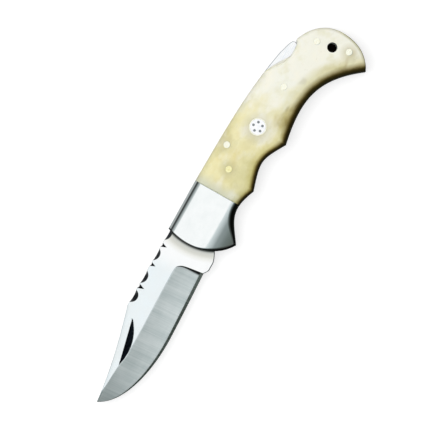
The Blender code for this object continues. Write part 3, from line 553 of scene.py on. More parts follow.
def finish(obj, looks, indices=None, crease=CREASE):
    """Closes the poles, points the faces outwards, gives them their materials and shades them smooth."""
    mesh = obj.data
    for look in looks:
        mesh.materials.append(look)
    if indices is not None:
        mesh.polygons.foreach_set("material_index", np.asarray(indices, np.int32))
    work = bmesh.new()
    work.from_mesh(mesh)
    bmesh.ops.remove_doubles(work, verts=work.verts, dist=MERGE_GAP)
    bmesh.ops.recalc_face_normals(work, faces=work.faces)
    work.to_mesh(mesh)
    work.free()
    mesh.shade_smooth()
    mesh.set_sharp_from_angle(angle=crease)


def other_side(sheet):
    """The same points mirrored through the knife's middle plane."""
    return sheet * (1, 1, -1) + (0, 0, 2 * MID_PLANE)


# Materials


def linear(code):
    """Linear colour of an sRGB hex code."""
    shares = [int(code[k : k + 2], 16) / 255 for k in (0, 2, 4)]
    return (*[s / 12.92 if s <= 0.04045 else ((s + 0.055) / 1.055) ** 2.4 for s in shares], 1.0)


def material(name):
    """New material and its empty node tree."""
    made = bpy.data.materials.new(name)
    made.use_nodes = True
    made.node_tree.nodes.clear()
    return made, made.node_tree


def add(tree, kind, sockets=None, out=0, stops=None, **settings):
    """Adds a node with its own settings, the values or links of its sockets and a ramp's stops, and gives
    one of its outputs. Sockets go by name or number: a range is mapped from 1 and 2 to 3 and 4, and the
    colours of a mix are 6 and 7."""
    made = tree.nodes.new("ShaderNode" + kind)
    for key, value in settings.items():
        setattr(made, key, value)
    for socket, value in (sockets or {}).items():
        if isinstance(value, bpy.types.NodeSocket):
            tree.links.new(value, made.inputs[socket])
        else:
            made.inputs[socket].default_value = value
    for number, (place, colour) in enumerate(stops or ()):
        ramp = made.color_ramp.elements
        stop = ramp[number] if number < 2 else ramp.new(place)
        stop.position, stop.color = place, linear(colour)
    return made.outputs[out] if made.outputs else None


def grain(tree, sizes, detail=3.0, roughness=0.55, turn=0.0):
    """Noise whose blotches are about these many millimetres along X, Y and Z, turned about Z."""
    place = add(tree, "Mapping", {0: add(tree, "TexCoord", out="Object"), "Rotation": (0, 0, turn)})
    scaled = add(tree, "Mapping", {0: place, "Scale": [1 / (size * MM) for size in sizes]})
    return add(tree, "TexNoise", {"Vector": scaled, "Scale": 1.0, "Detail": detail, "Roughness": roughness})


def tinted(tree, value, low, high, first, second, most=1.0, **settings):
    """Colour that goes from the first to the second, or up to a share of most towards it, where a value
    rises from low to high. The first is a hex code or the colour that earlier nodes made."""
    share = add(tree, "MapRange", {0: value, 1: low, 2: high, 4: most}, **settings)
    first = linear(first) if isinstance(first, str) else first
    return add(tree, "Mix", {0: share, 6: first, 7: linear(second)}, 2, data_type="RGBA")


def shaded(made, tree, sockets):
    """Ends a material's nodes with its shader and its output."""
    add(tree, "OutputMaterial", {"Surface": add(tree, "BsdfPrincipled", sockets)})
    return made


def metal(made, tree, colour, rough, marks, depth, metallic=1.0):
    """Ends a metal's nodes, with marks this many millimetres deep."""
    raised = add(tree, "Bump", {"Height": marks, "Distance": depth * MM})
    sockets = {"Metallic": metallic, "Base Color": colour, "Roughness": rough, "Normal": raised}
    return shaded(made, tree, sockets)


def rubbed_metal(name, sizes, spread, codes, roughs, depth, turn=0.0):
    """Metal whose rubbed marks alone give it its two tints, its roughness and its bump."""
    made, tree = material(name)
    marks = grain(tree, sizes, turn=turn)
    colour = tinted(tree, marks, *spread, *codes)
    rough = add(tree, "MapRange", {0: marks, 1: 0.3, 2: 0.7, 3: roughs[0], 4: roughs[1]})
    return metal(made, tree, colour, rough, marks, depth)


def polished_blade_steel():
    """Stainless steel, buffed to a mirror: bright and cool, with faint hairlines along the blade, smudges,
    and a warm painted shade and reflection that deepens where the blade runs in between the bolsters."""
    made, tree = material("buffed_stainless_steel")
    # Hairlines are a few hundredths of a millimetre wide; they are drawn at 0.25 mm to show.
    hairs = grain(tree, (9.0, 0.25, 0.25), 4.0, 0.7, NICK_SLOPE / 3)
    smudge = grain(tree, (7.0, 5.0, 5.0), 2.0)
    tint = tinted(tree, smudge, 0.35, 0.7, "F1F8FB", "F7FBFC")
    # The ricasso is thick and flat, so the buff leaves it the whitest part.
    x = add(tree, "SeparateXYZ", {0: add(tree, "TexCoord", out="Object")})
    ricasso = add(tree, "MapRange", {0: x, 1: -26 * MM, 2: -16 * MM, 4: 0.9}, interpolation_type="SMOOTHSTEP")
    tint = add(tree, "Mix", {0: ricasso, 6: tint, 7: linear("FFFFFF")}, 2, data_type="RGBA")
    lined = tinted(tree, hairs, 0.55, 0.8, tint, "E2E9ED", 0.35)
    # Painted shade, warm like a painted reflection, where the blade runs in before the bolster's front.
    painted_shade = add(tree, "Attribute", out="Fac", attribute_name="painted_shade")
    shade = add(tree, "ValToRGB", {0: painted_shade}, stops=PAINTED_SHADE)
    colour = add(tree, "Mix", {0: 1.0, 6: lined, 7: shade}, 2, data_type="RGBA", blend_type="MULTIPLY")
    rough = add(tree, "MapRange", {0: smudge, 1: 0.3, 2: 0.75, 3: 0.1, 4: 0.2})
    finer = add(tree, "Math", {0: ricasso, 1: -0.08, 2: rough}, operation="MULTIPLY_ADD")
    return metal(made, tree, colour, finer, hairs, 0.004)


def ground_blade_steel():
    """The same steel straight from a fine belt: satin grey, darker to the tip, with soft lines square to
    the edge, and black painted shade in the corner where it ends at the ricasso."""
    made, tree = material("belt_ground_stainless_steel")
    # Belt lines are 0.05 mm apart; they are drawn at 0.4 mm so that they show.
    fine = grain(tree, (0.4, 26.0, 26.0), 3.0, 0.6, math.radians(-4))
    wide = grain(tree, (4.0, 30.0, 30.0), 2.0, 0.5, math.radians(-4))
    cloud = grain(tree, (9.0, 5.0, 5.0), 3.0)
    x = add(tree, "SeparateXYZ", {0: add(tree, "TexCoord", out="Object")})
    steel = tinted(tree, x, -88 * MM, -42 * MM, "D8DEDE", "F6FBFB")
    lines = add(tree, "Math", {0: fine, 1: wide}, operation="ADD")
    lines = add(tree, "Math", {0: cloud, 1: 0.6, 2: lines}, operation="MULTIPLY_ADD")
    streak = tinted(tree, lines, 0.95, 1.65, "DDE2E2", "FFFFFF")
    streaked = add(tree, "Mix", {0: 1.0, 6: steel, 7: streak}, 2, data_type="RGBA", blend_type="MULTIPLY")
    # Black painted shade fills the corner where the grind ends.
    painted_dark = add(tree, "Attribute", out="Fac", attribute_name="painted_shade")
    colour = add(tree, "Mix", {0: painted_dark, 6: streaked, 7: linear("0D1011")}, 2, data_type="RGBA")
    rough = add(tree, "MapRange", {0: lines, 1: 0.9, 2: 1.7, 3: 0.34, 4: 0.44})
    return metal(made, tree, colour, rough, fine, 0.004, 0.74)


def sharpened_steel():
    """The sharpened bevel: coarser than the grind, with short cross lines; its dark colour, lighter towards
    the heel, is painted shade.
    """
    made, tree = material("stoned_edge_steel")
    lines = grain(tree, (0.5, 20.0, 20.0), 3.0, 0.6)
    bevel = tinted(tree, lines, 0.35, 0.65, "70766F", "868D87")
    x = add(tree, "SeparateXYZ", {0: add(tree, "TexCoord", out="Object")})
    colour = tinted(tree, x, -40 * MM, -20 * MM, bevel, "A0A69F")
    rough = add(tree, "MapRange", {0: lines, 1: 0.35, 2: 0.65, 3: 0.22, 4: 0.3})
    return metal(made, tree, colour, rough, lines, 0.006)


def file_cut_steel():
    """File cuts, the nail nick and the kick's rim: painted shade, almost black, with blue-grey blotches as a
    painted sheen.
    """
    codes = ("0C0F14", "262C36")
    name = "painted_shade_cut_steel"
    return rubbed_metal(name, (2.5, 0.4, 3.0), (0.4, 0.7), codes, (0.25, 0.4), 0.01, NICK_SLOPE)


def mirror_nickel():
    """Nickel silver, mirror polished by hand: white metal whose face waves a little, so that its
    reflections drift, with fine scratches, thumb smudges and black painted shade along the front."""
    made, tree = material("mirror_polished_nickel_silver")
    scratch = grain(tree, (6.0, 0.3, 0.3), 4.0, 0.7, math.radians(20))
    smudge = grain(tree, (6.0, 5.0, 5.0), 3.0)
    wave = grain(tree, (16.0, 4.5, 4.5), 1.0)
    tint = tinted(tree, smudge, 0.35, 0.7, "FBFDFD", "F6F9F9")
    lined = tinted(tree, scratch, 0.6, 0.8, tint, "DFE3E5", 0.25)
    # Black painted shade lies along the front and the belly, and in a fine line under the spine, for the
    # rounds' shade and dark reflections.
    painted_dark = add(tree, "Attribute", out="Fac", attribute_name="painted_shade")
    colour = add(tree, "Mix", {0: painted_dark, 6: lined, 7: linear("12140E")}, 2, data_type="RGBA")
    rough = add(tree, "MapRange", {0: smudge, 1: 0.3, 2: 0.75, 3: 0.05, 4: 0.12})
    waved = add(tree, "Bump", {"Height": wave, "Distance": 0.05 * MM})
    raised = add(tree, "Bump", {"Height": scratch, "Distance": 0.003 * MM, "Normal": waved})
    sockets = {"Metallic": 1.0, "Base Color": colour, "Roughness": rough, "Normal": raised}
    return shaded(made, tree, sockets)


def blot(tree, place, reach, rise, size, turn=0.0):
    """Round blot on the outer face, in millimetres and degrees: 1 in its middle and 0 from its rim on."""
    sockets = {0: place, "Location": (reach * MM, rise * MM, KNIFE_TOP)}
    sockets |= {"Rotation": (0, 0, math.radians(turn)), "Scale": [half * MM for half in size]}
    local = add(tree, "Mapping", sockets, vector_type="TEXTURE")
    return add(tree, "TexGradient", {0: local}, "Fac", gradient_type="SPHERICAL")


def stained_bone(tree, place, small, bone):
    """The bone's clouds and stains over its own colour: their outlines drift with a noise, and the small
    noise breaks them up. Painted shadows lie round the pins."""
    bent = grain(tree, (6.0, 5.0, 5.0), 0.5).node.outputs["Color"]
    drift = add(tree, "Mapping", {0: bent, "Location": [-STAIN_DRIFT / 2] * 3, "Scale": [STAIN_DRIFT] * 3})
    drifted = add(tree, "VectorMath", {0: place, 1: drift}, operation="ADD")
    broken = add(tree, "MapRange", {0: small, 1: 0.3, 2: 0.65, 3: 0.65, 4: 1.2})
    for reach, rise, width, height, turn, strength, code in STAINS:
        spot = blot(tree, drifted, reach, rise, (width, height, STAIN_DEPTH), turn)
        spot = add(tree, "Math", {0: spot, 1: broken}, operation="MULTIPLY")
        bone = tinted(tree, spot, 0.0, 0.9, bone, code, strength, interpolation_type="SMOOTHSTEP")
    for reach, rise, width, strength, code in PIN_SHADOWS:
        bone = tinted(tree, blot(tree, place, reach, rise, [width] * 3), 0.0, 1.0, bone, code, strength)
    return bone


def polished_bone():
    """Camel bone, sanded and polished: cream with straw and olive clouds, whiter to the butt, greyed by
    painted shade at the bolster, brown-black painted shade where it rounds over at the belly, and flecked
    with short pores."""
    made, tree = material("polished_camel_bone")
    place = add(tree, "TexCoord", out="Object")
    x = add(tree, "SeparateXYZ", {0: place})
    cloud = grain(tree, (11.0, 7.0, 7.0), 3.0)
    small = grain(tree, (4.2, 3.2, 3.2), 3.0)
    patches = grain(tree, (6.0, 4.5, 4.5), 2.0, 0.5, math.radians(35))

    # Cream at the front turns to ivory behind the middle, at a border that wanders with the clouds.
    wander = add(tree, "MapRange", {0: cloud, 1: 0.3, 2: 0.7, 3: -16 * MM, 4: 16 * MM})
    shifted = add(tree, "Math", {0: x, 1: wander}, operation="ADD")
    eased = {"interpolation_type": "SMOOTHSTEP"}
    base = tinted(tree, shifted, 34 * MM, 76 * MM, "EBE4B2", "F3F2E4", **eased)
    front = add(tree, "MapRange", {0: x, 1: 66 * MM, 2: 36 * MM}, **eased)
    spots = add(tree, "MapRange", {0: small, 1: 0.42, 2: 0.66, 4: 0.55})
    spots = add(tree, "Math", {0: spots, 1: front}, operation="MULTIPLY")
    straw = add(tree, "Mix", {0: spots, 6: base, 7: linear("E4D897")}, 2, data_type="RGBA")
    olive = tinted(tree, patches, 0.5, 0.72, straw, "DDD9AE", 0.5)
    pale = tinted(tree, cloud, 0.52, 0.68, olive, "F7F4E3", 0.75)
    # Painted shade greys the bone next to the step up to the bolster.
    joint = add(tree, "MapRange", {0: x, 1: 17 * MM, 2: 23 * MM, 3: 0.85, 4: 0.0}, **eased)
    joint_shaded = add(tree, "Mix", {0: joint, 6: pale, 7: linear("CDCFBA")}, 2, data_type="RGBA")
    stained = stained_bone(tree, place, small, joint_shaded)

    # Bone pores are 0.05 mm wide and up to 2 mm long; they are drawn 0.3 mm wide.
    pores = grain(tree, (2.6, 0.3, 0.3), 2.0, 0.4)
    flecked = tinted(tree, pores, 0.66, 0.82, stained, "BDB07A", 0.2)

    painted_edge_shade = add(tree, "Attribute", out="Fac", attribute_name="painted_edge_shade")
    ragged = add(tree, "MapRange", {0: small, 1: 0.3, 2: 0.7, 3: -0.02, 4: 0.02})
    edge = add(tree, "Math", {0: painted_edge_shade, 1: ragged}, operation="ADD")
    edge_shade = add(tree, "ValToRGB", {0: edge}, stops=EDGE_SHADE)
    colour = add(tree, "Mix", {0: 1.0, 6: flecked, 7: edge_shade}, 2, data_type="RGBA", blend_type="MULTIPLY")
    rough = add(tree, "MapRange", {0: small, 1: 0.3, 2: 0.7, 3: 0.26, 4: 0.38})
    # Where shade is painted dark, the bone's shine and coat are taken away too.
    shine = add(tree, "MapRange", {0: painted_edge_shade, 1: 0.5, 2: 0.8, 3: 0.5, 4: 0.08})
    coat = add(tree, "MapRange", {0: painted_edge_shade, 1: 0.4, 2: 0.7, 3: 0.2, 4: 0.0})
    raised = add(tree, "Bump", {"Height": pores, "Distance": 0.015 * MM, "Strength": 0.6})
    sockets = {"Base Color": colour, "Roughness": rough, "Normal": raised, "Specular IOR Level": shine}
    sockets |= {"Subsurface Weight": 0.08, "Subsurface Scale": 0.8 * MM}
    sockets |= {"Subsurface Radius": (1.0, 0.85, 0.6), "Coat Weight": coat, "Coat Roughness": 0.12}
    return shaded(made, tree, sockets)


def pin_metal():
    """Nickel silver pin stock, sanded flush with the bone and buffed: pale, with a warm cast."""
    codes = ("FFFFF0", "FBF7DD")
    return rubbed_metal("buffed_nickel_pin", (1.5, 0.3, 0.3), (0.4, 0.7), codes, (0.04, 0.1), 0.001)


def front_pin_metal():
    """Brass pin stock that tarnished a little before it was buffed: pale gold with an olive cast."""
    codes = ("FFFAC6", "F2E9A6")
    return rubbed_metal("buffed_brass_pin", (1.2, 0.6, 0.6), (0.35, 0.7), codes, (0.05, 0.12), 0.002)


def mosaic_resin():
    """Cast resin filling of the mosaic pin, polished: white, faintly clouded."""
    made, tree = material("polished_casting_resin")
    cloud = grain(tree, (0.8, 0.8, 0.8), 3.0)
    colour = tinted(tree, cloud, 0.4, 0.65, "FFFFFF", "F0F3F8")
    rough = add(tree, "MapRange", {0: cloud, 1: 0.3, 2: 0.7, 3: 0.2, 4: 0.32})
    sockets = {"Base Color": colour, "Roughness": rough, "Coat Weight": 0.4, "Coat Roughness": 0.08}
    return shaded(made, tree, sockets)


def mosaic_rod():
    """Steel rods of the mosaic pin, cut flush and gone dull: small grey ends."""
    made, tree = material("dull_steel_rod")
    marks = grain(tree, (0.4, 0.1, 0.1), 3.0)
    colour = tinted(tree, marks, 0.4, 0.7, "8D9295", "ADB2B5")
    rough = add(tree, "MapRange", {0: marks, 1: 0.3, 2: 0.7, 3: 0.35, 4: 0.5})
    return shaded(made, tree, {"Metallic": 0.8, "Base Color": colour, "Roughness": rough})


def liner_steel():
    """Rolled steel liners, satin outside and dull inside: grey with fine rolling lines."""
    made, tree = material("rolled_liner_steel")
    lines = grain(tree, (12.0, 0.3, 0.2), 3.0)
    darkening = grain(tree, (5.0, 4.0, 2.0), 3.0)
    rolled = tinted(tree, lines, 0.4, 0.7, "B4B7B5", "D6D9D8")
    colour = tinted(tree, darkening, 0.5, 0.8, rolled, "8A877A", 0.5)
    rough = add(tree, "MapRange", {0: darkening, 1: 0.3, 2: 0.7, 3: 0.32, 4: 0.46})
    return metal(made, tree, colour, rough, lines, 0.005)


def lock_steel():
    """Spring steel of the lock bar and its spring, polished along its length: pale and cool."""
    made, tree = material("polished_spring_steel")
    lines = grain(tree, (10.0, 0.25, 0.25), 3.0, 0.6)
    cloud = grain(tree, (7.0, 3.0, 3.0), 2.0)
    bright = tinted(tree, lines, 0.4, 0.7, "FFFFFF", "FAFCFF")
    colour = tinted(tree, cloud, 0.45, 0.7, bright, "ECF1F8", 0.4)
    rough = add(tree, "MapRange", {0: lines, 1: 0.3, 2: 0.7, 3: 0.08, 4: 0.16})
    return metal(made, tree, colour, rough, lines, 0.003)


# Blade


def nail_nick(x, y):
    """Depth of the nick on the mark side. Along the nick s and below its straight edge t, the wheel's
    flat side goes down by t over the tangent of its lean, and its rim by the nick's depth less s squared
    over twice the wheel's radius, less t times the sine of the lean, all over the cosine."""
    radius = (NICK_HALF**2 + NICK_DEPTH**2) / (2 * NICK_DEPTH)
    dx, dy = x - NICK_REACH, y - (height_at(CLIP, NICK_REACH) - NICK_BELOW_CLIP)
    s = dx * math.cos(NICK_SLOPE) + dy * math.sin(NICK_SLOPE)
    t = dx * math.sin(NICK_SLOPE) - dy * math.cos(NICK_SLOPE)
    rim = (NICK_DEPTH - s**2 / (2 * radius) - t * math.sin(NICK_LEAN)) / math.cos(NICK_LEAN)
    return np.maximum(np.minimum(t / math.tan(NICK_LEAN), rim), 0)


def file_work(x):
    """Depth of the file cuts on the mark side: a circle's arc for a crescent, and straight sides for a
    notch."""
    cut = np.zeros_like(x)
    for reach, width, depth in np.array(CRESCENTS) * MM:
        radius = ((width / 2) ** 2 + depth**2) / (2 * depth)
        arc = np.sqrt(np.maximum(radius**2 - (x - reach) ** 2, 0)) - (radius - depth)
        cut = np.maximum(cut, np.where(np.abs(x - reach) < width / 2, arc, 0))
    for reach, width, depth in np.array(NOTCHES) * MM:
        cut = np.maximum(cut, depth * (1 - 2 * np.abs(x - reach) / width))
    return np.maximum(cut, 0)


def blade_low(x):
    """Lower outline of the blade: edge, kick and tang."""
    tang = -np.sqrt(np.maximum(TANG_RADIUS**2 - x**2, 0))
    return np.where(x < HEEL[0], height_at(EDGE, x), np.where(x < SHOULDER, height_at(KICK, x), tang))


def blade_high(x):
    """Upper outline without file work: clip, spine and, behind the shoulder, the tang's round."""
    tang = np.sqrt(np.maximum(TANG_RADIUS**2 - x**2, 0))
    front = np.where(x < CLIP_CORNER[0], height_at(CLIP, x), CLIP_CORNER[1])
    return np.where(x > SHOULDER + SHOULDER_STEP / 2, tang, front)


def grind_lines(x):
    """Heights of the edge bevel's top and of the grind line."""
    runout = (GRIND_RUNOUT, height_at(CLIP, GRIND_RUNOUT))
    line = joined(
        bend(GRIND_START, GRIND_TURN, (0.333, -0.006), (0.667, 0.02), 60),
        bend(GRIND_TURN, runout, (0.332, -0.044), (0.667, 0.014), 60),
        (TIP[0], TIP[1] + GRIND_ABOVE_TIP),
    )
    low = blade_low(x)
    top = np.maximum(height_at(line, x), low + EDGE_BEVEL)
    bevel = EDGE_BEVEL * (1 - np.exp(-(x - TIP[0]) / EDGE_BEVEL_FADE))
    bevel = np.minimum(np.maximum(bevel, EDGE_BEVEL_LEAST), (top - low) / 2)
    return low + bevel, top


def blade_half(x, y, station):
    """Half thickness: the edge bevel's straight slope, then the wheel's hollow to the grind line, then the
    flat. The plunge lifts it back to the flat by the square of the way through it."""
    low = blade_low(x)
    bevel, top = grind_lines(x)
    at_bevel = EDGE_LAND + (bevel - low) * EDGE_SLOPE
    rise = np.maximum(top - bevel, 1e-9)
    share = np.clip((y - bevel) / rise, 0, 1)
    dip = rise**2 / (2 * WHEEL_RADIUS) * share * (1 - share)
    hollow = at_bevel + (BLADE_HALF - at_bevel) * share - dip
    ground = np.where(y < bevel, EDGE_LAND + (y - low) * EDGE_SLOPE, hollow)
    through = np.clip((HEEL[0] - station) / PLUNGE_RUN, 0, 1)
    half = ground + (BLADE_HALF - ground) * (1 - through) ** 2
    below_clip = height_at(CLIP, x) - y
    false_edge = np.maximum(FALSE_EDGE - below_clip, 0) * FALSE_EDGE_SLOPE
    false_edge = np.where(x < CLIP_CORNER[0], false_edge, 0)
    kick = round_drop(np.where(station > HEEL[0], y - low, KICK_ROUND), KICK_ROUND)
    spine = round_drop(np.where(station > SHOULDER, BLADE_SOFTEN, blade_high(x) - y), BLADE_SOFTEN)
    softened = np.minimum(false_edge + kick + spine, half * SOFTEN_MOST)
    return np.where(station > HEEL[0], BLADE_HALF, half) - softened


def blade_stations():
    """Places along the blade, close together at the tip, the plunge, the file cuts and the tang."""
    tip = TIP[0] + (1 - np.cos(np.linspace(0, math.pi / 2, TIP_STATIONS))) * TIP_RUN
    tang = SHOULDER + SHOULDER_STEP
    tang = tang + (TANG_RADIUS - tang) * np.sin(np.linspace(0, math.pi / 2, TANG_STATIONS))
    corners = [HEEL[0] - PLUNGE_RUN, HEEL[0], KICK_FRONT[0], KICK_BACK[0], CLIP_CORNER[0], SHOULDER]
    runs = [tip, *(np.arange(*run) for run in STATION_RUNS), corners, tang]
    for cuts in (CRESCENTS, NOTCHES):
        for reach, width, _ in np.array(cuts) * MM:
            runs.append([reach - width / 2, reach, reach + width / 2])
    stations = np.sort(np.concatenate(runs))
    return stations[np.concatenate(([True], np.diff(stations) > STATION_GAP))]


def blade_rows(ground):
    """Shares of the blade's height at which its rows lie at each station: from the edge through the
    bevel's top, the grind line and the nick's straight edge to the spine. Gives each row's zone and the
    grind line's share too."""
    low, high = blade_low(ground), blade_high(ground)
    bevel, top = grind_lines(ground)
    span = np.maximum(high - low, 1e-9)
    bevel_share = np.minimum((bevel - low) / span, BEVEL_MOST)
    top_share = np.minimum((top - low) / span, GRIND_MOST)
    clip_room = np.clip(high - top, 0, None)
    nick = height_at(CLIP, NICK_REACH) - NICK_BELOW_CLIP + (ground - NICK_REACH) * math.tan(NICK_SLOPE)
    nick = np.clip(nick, top + NICK_ROOM[0] * clip_room, high - NICK_ROOM[1] * clip_room)
    nick_share = np.clip((nick - low) / span, top_share + NICK_LEAST, NICK_MOST)
    wall_share = nick_share - np.minimum(NICK_WALL / span, WALL_MOST)
    marks = [0 * span, bevel_share, top_share, wall_share, nick_share, 0 * span + 1]
    shares = [marks[0][:, None]]
    zones = []
    for number, (near, far, steps, power) in enumerate(zip(marks, marks[1:], ROW_STEPS, ROW_POWERS)):
        t = np.arange(1, steps + 1) / steps
        t = t**power if power > 0 else 1 - (1 - t) ** -power
        shares.append(near[:, None] + (far - near)[:, None] * t)
        zones += [number] * steps
    return np.concatenate(shares, axis=1), np.array(zones), top_share[:, None]


def blade_looks(cells, stations, zones, cut, depth):
    """Which look each face of the blade has: 0 for the flats, 1 for the grind, 2 for the edge bevel, and
    3 for the file cuts, the nail nick and the kick."""
    i, j, kind = cells.T
    zone = zones[j]
    ahead = stations[i] < HEEL[0]
    index = np.where(ahead & (zone == 0), 2, np.where(ahead & (zone == 1), 1, 0))
    index = np.where(kind == 2, 0, index)
    middle = (depth[:-1, :-1] + depth[1:, :-1] + depth[:-1, 1:] + depth[1:, 1:]) / 4
    nicked = (middle[i, j] > CUT_LEAST) & (kind == 0)
    filed = (kind == 2) & (j == len(zones) - 1) & (cut[i] + cut[i + 1] > CUT_LEAST)
    kicked = ~ahead & (stations[i] < SHOULDER) & (j < KICK_ROWS) & (kind == 0)
    return np.where(nicked | filed | kicked, 3, index)


def blade_painted_shade(sheet, station, level):
    """How much painted shade each point of the blade has: more towards the bolster's front, and in the
    plunge's corner.
    """
    front = np.clip(1 - distance(sheet, FRONT) / PAINTED_SHADE_REACH, 0, 1)
    width = PLUNGE_DARK[0] + PLUNGE_DARK[1] * (1 - np.clip(level, 0, 1))
    corner = 1 - smooth(*PLUNGE_DARK_FADE, (HEEL[0] - station) / width)
    return np.maximum(front, corner * (station <= HEEL[0]) * (level < 0.999))


def blade_piece(looks):
    """The blade as two sheets, mark side and pile side, whose stations lean back along the plunge."""
    stations = blade_stations()
    shares, zones, top_share = blade_rows(np.minimum(stations, GRIND_START[0]))
    level = shares / top_share
    lean = PLUNGE_LEAN * np.minimum(level, 1) + PLUNGE_CORNER * np.minimum(level, 1) ** 8
    lean = lean * (1 - smooth(top_share, 1, shares))
    near_plunge = smooth(*PLUNGE_EASE[0], stations) * (1 - smooth(*PLUNGE_EASE[1], stations))
    x = stations[:, None] - lean * near_plunge[:, None]
    cut = file_work(x[:, -1])
    low, high = blade_low(x), blade_high(x)
    # The rows above the nick are pressed together where a file cut takes the spine away.
    room = smooth(CUT_ROOM, 1.0, shares)
    tops = low + (high - low) * shares - cut[:, None] * room
    unders = low + (high - low) * shares - FILE_FAR_SHARE * cut[:, None] * room
    station = stations[:, None] + 0 * x
    depth = nail_nick(x, tops)
    mark_side = np.dstack((x, tops, MID_PLANE + blade_half(x, tops, station) - depth))
    pile_side = np.dstack((x, unders, MID_PLANE - blade_half(x, unders, station)))
    sheet = mark_side[..., :2].copy()
    kept = open_hole(sheet, np.array((0.0, 0.0)), PIVOT_BORE, *PIVOT_RING)
    moved = sheet - mark_side[..., :2]
    mark_side[..., :2] += moved
    pile_side[..., :2] += moved
    obj, cells = slab("blade_dressed", mark_side, pile_side, kept)
    # Painted shade: before the bolster's front and in the plunge's corner.
    painted_shade = blade_painted_shade(sheet, station, level).ravel()
    mark(obj, "painted_shade", np.concatenate((painted_shade, painted_shade)))
    finish(obj, looks, blade_looks(cells, stations, zones, cut, depth))
    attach(obj, "blade")
    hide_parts("blade")


# Lock bar


def rounded_plate(name, outline, hole, low, high, radius):
    """Flat plate with one hole. Its rim is rings of the outline, moved in along the corners' bisectors by
    the radius less its share by cos a, and down from the face by the radius less its share by sin a."""
    run = np.roll(outline, -1, axis=0) - outline
    inward = np.column_stack((-run[:, 1], run[:, 0])) / np.linalg.norm(run, axis=1)[:, None]
    before = np.roll(inward, 1, axis=0)
    bisector = (inward + before) / (1 + (inward * before).sum(1))[:, None]
    a = np.linspace(0, math.pi / 2, 5)
    insets = np.append(radius * (1 - np.cos(a)), FACE_INSET * radius)
    rises = np.append(high - radius * (1 - np.sin(a)), high)
    insets, rises = np.concatenate((insets[::-1], insets)), np.concatenate((low + high - rises[::-1], rises))
    rings = outline[None] + bisector[None] * insets[:, None, None]
    count, sides = len(insets), len(outline)
    points = np.dstack((rings, np.broadcast_to(rises[:, None], rings.shape[:2]))).reshape(-1, 3)
    holes = np.concatenate([np.column_stack((hole, np.full(len(hole), z))) for z in (low, high)])
    first = count * sides + np.arange(len(hole))
    after = count * sides + (np.arange(len(hole)) + 1) % len(hole)
    bore = np.column_stack((after, first, first + len(hole), after + len(hole)))
    flat = [[Vector((x, y, 0)) for x, y in loop] for loop in (rings[-1], hole)]
    cap = np.array(geometry.tessellate_polygon(flat))
    under = np.where(cap < sides, cap, cap - sides + count * sides)
    over = np.where(cap < sides, cap + (count - 1) * sides, cap - sides + count * sides + len(hole))
    faces = ring_walls(count, sides).tolist() + bore.tolist() + under[:, ::-1].tolist() + over.tolist()
    return solid(name, np.concatenate((points, holes)), faces)


def bar_piece(look):
    """The lock bar: nose, hub round its pin, and the paddle that shows in the thumb notch."""
    low = math.pi + math.asin((ROCKER[1] - BAR_UNDER) / HUB_RADIUS)
    hub = np.linspace(low, 2 * math.pi - math.asin((ROCKER[1] - REAR_WEB) / HUB_RADIUS), 24)
    ramp_end = BAR_END[0] - PADDLE_RUN
    back = stretch(joined(FRONT_TOP, SPINE_RUN), NOSE[0], BAR_END[0] - BAR_END_ROUND)[::-1]
    outline = joined(
        (NOSE[0], NOSE[2]),
        (NOSE[1], NOSE[2]),
        (NOSE[1], BAR_UNDER),
        np.column_stack((ROCKER[0] + HUB_RADIUS * np.cos(hub), ROCKER[1] + HUB_RADIUS * np.sin(hub))),
        bend((ramp_end - PADDLE_RAMP, REAR_WEB), (ramp_end, PADDLE), (0.35, 0.22), (0.65, -0.22), 30),
        (BAR_END[0] - PADDLE_UNDERCUT, PADDLE),
        bend(BAR_END_BACK, back[0], (0.4, -0.25), (0.75, -0.2), 10),
        back,
    )
    hole = circle(ROCKER, PIN_BORE)
    obj = rounded_plate("lock_bar_dressed", outline, hole, MID_PLANE - BLADE_HALF, BLADE_TOP, BAR_SOFTEN)
    finish(obj, [look])
    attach(obj, "lock_bar")
    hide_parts("lock_bar")


# Handle covers


def rim(sheet, *runs):
    """How far a cover's face drops at each point: the deepest of the rounds along its runs of edge."""
    drops = [round_drop(distance(sheet, line), width) for line, width in runs]
    return np.maximum.reduce(drops)


def spaced(count, ends):
    """Shares from 0 to 1, closer at both ends by a cosine for the part that ends says."""
    t = np.linspace(0, 1, count)
    return (1 - ends) * t + ends * (1 - np.cos(math.pi * t)) / 2


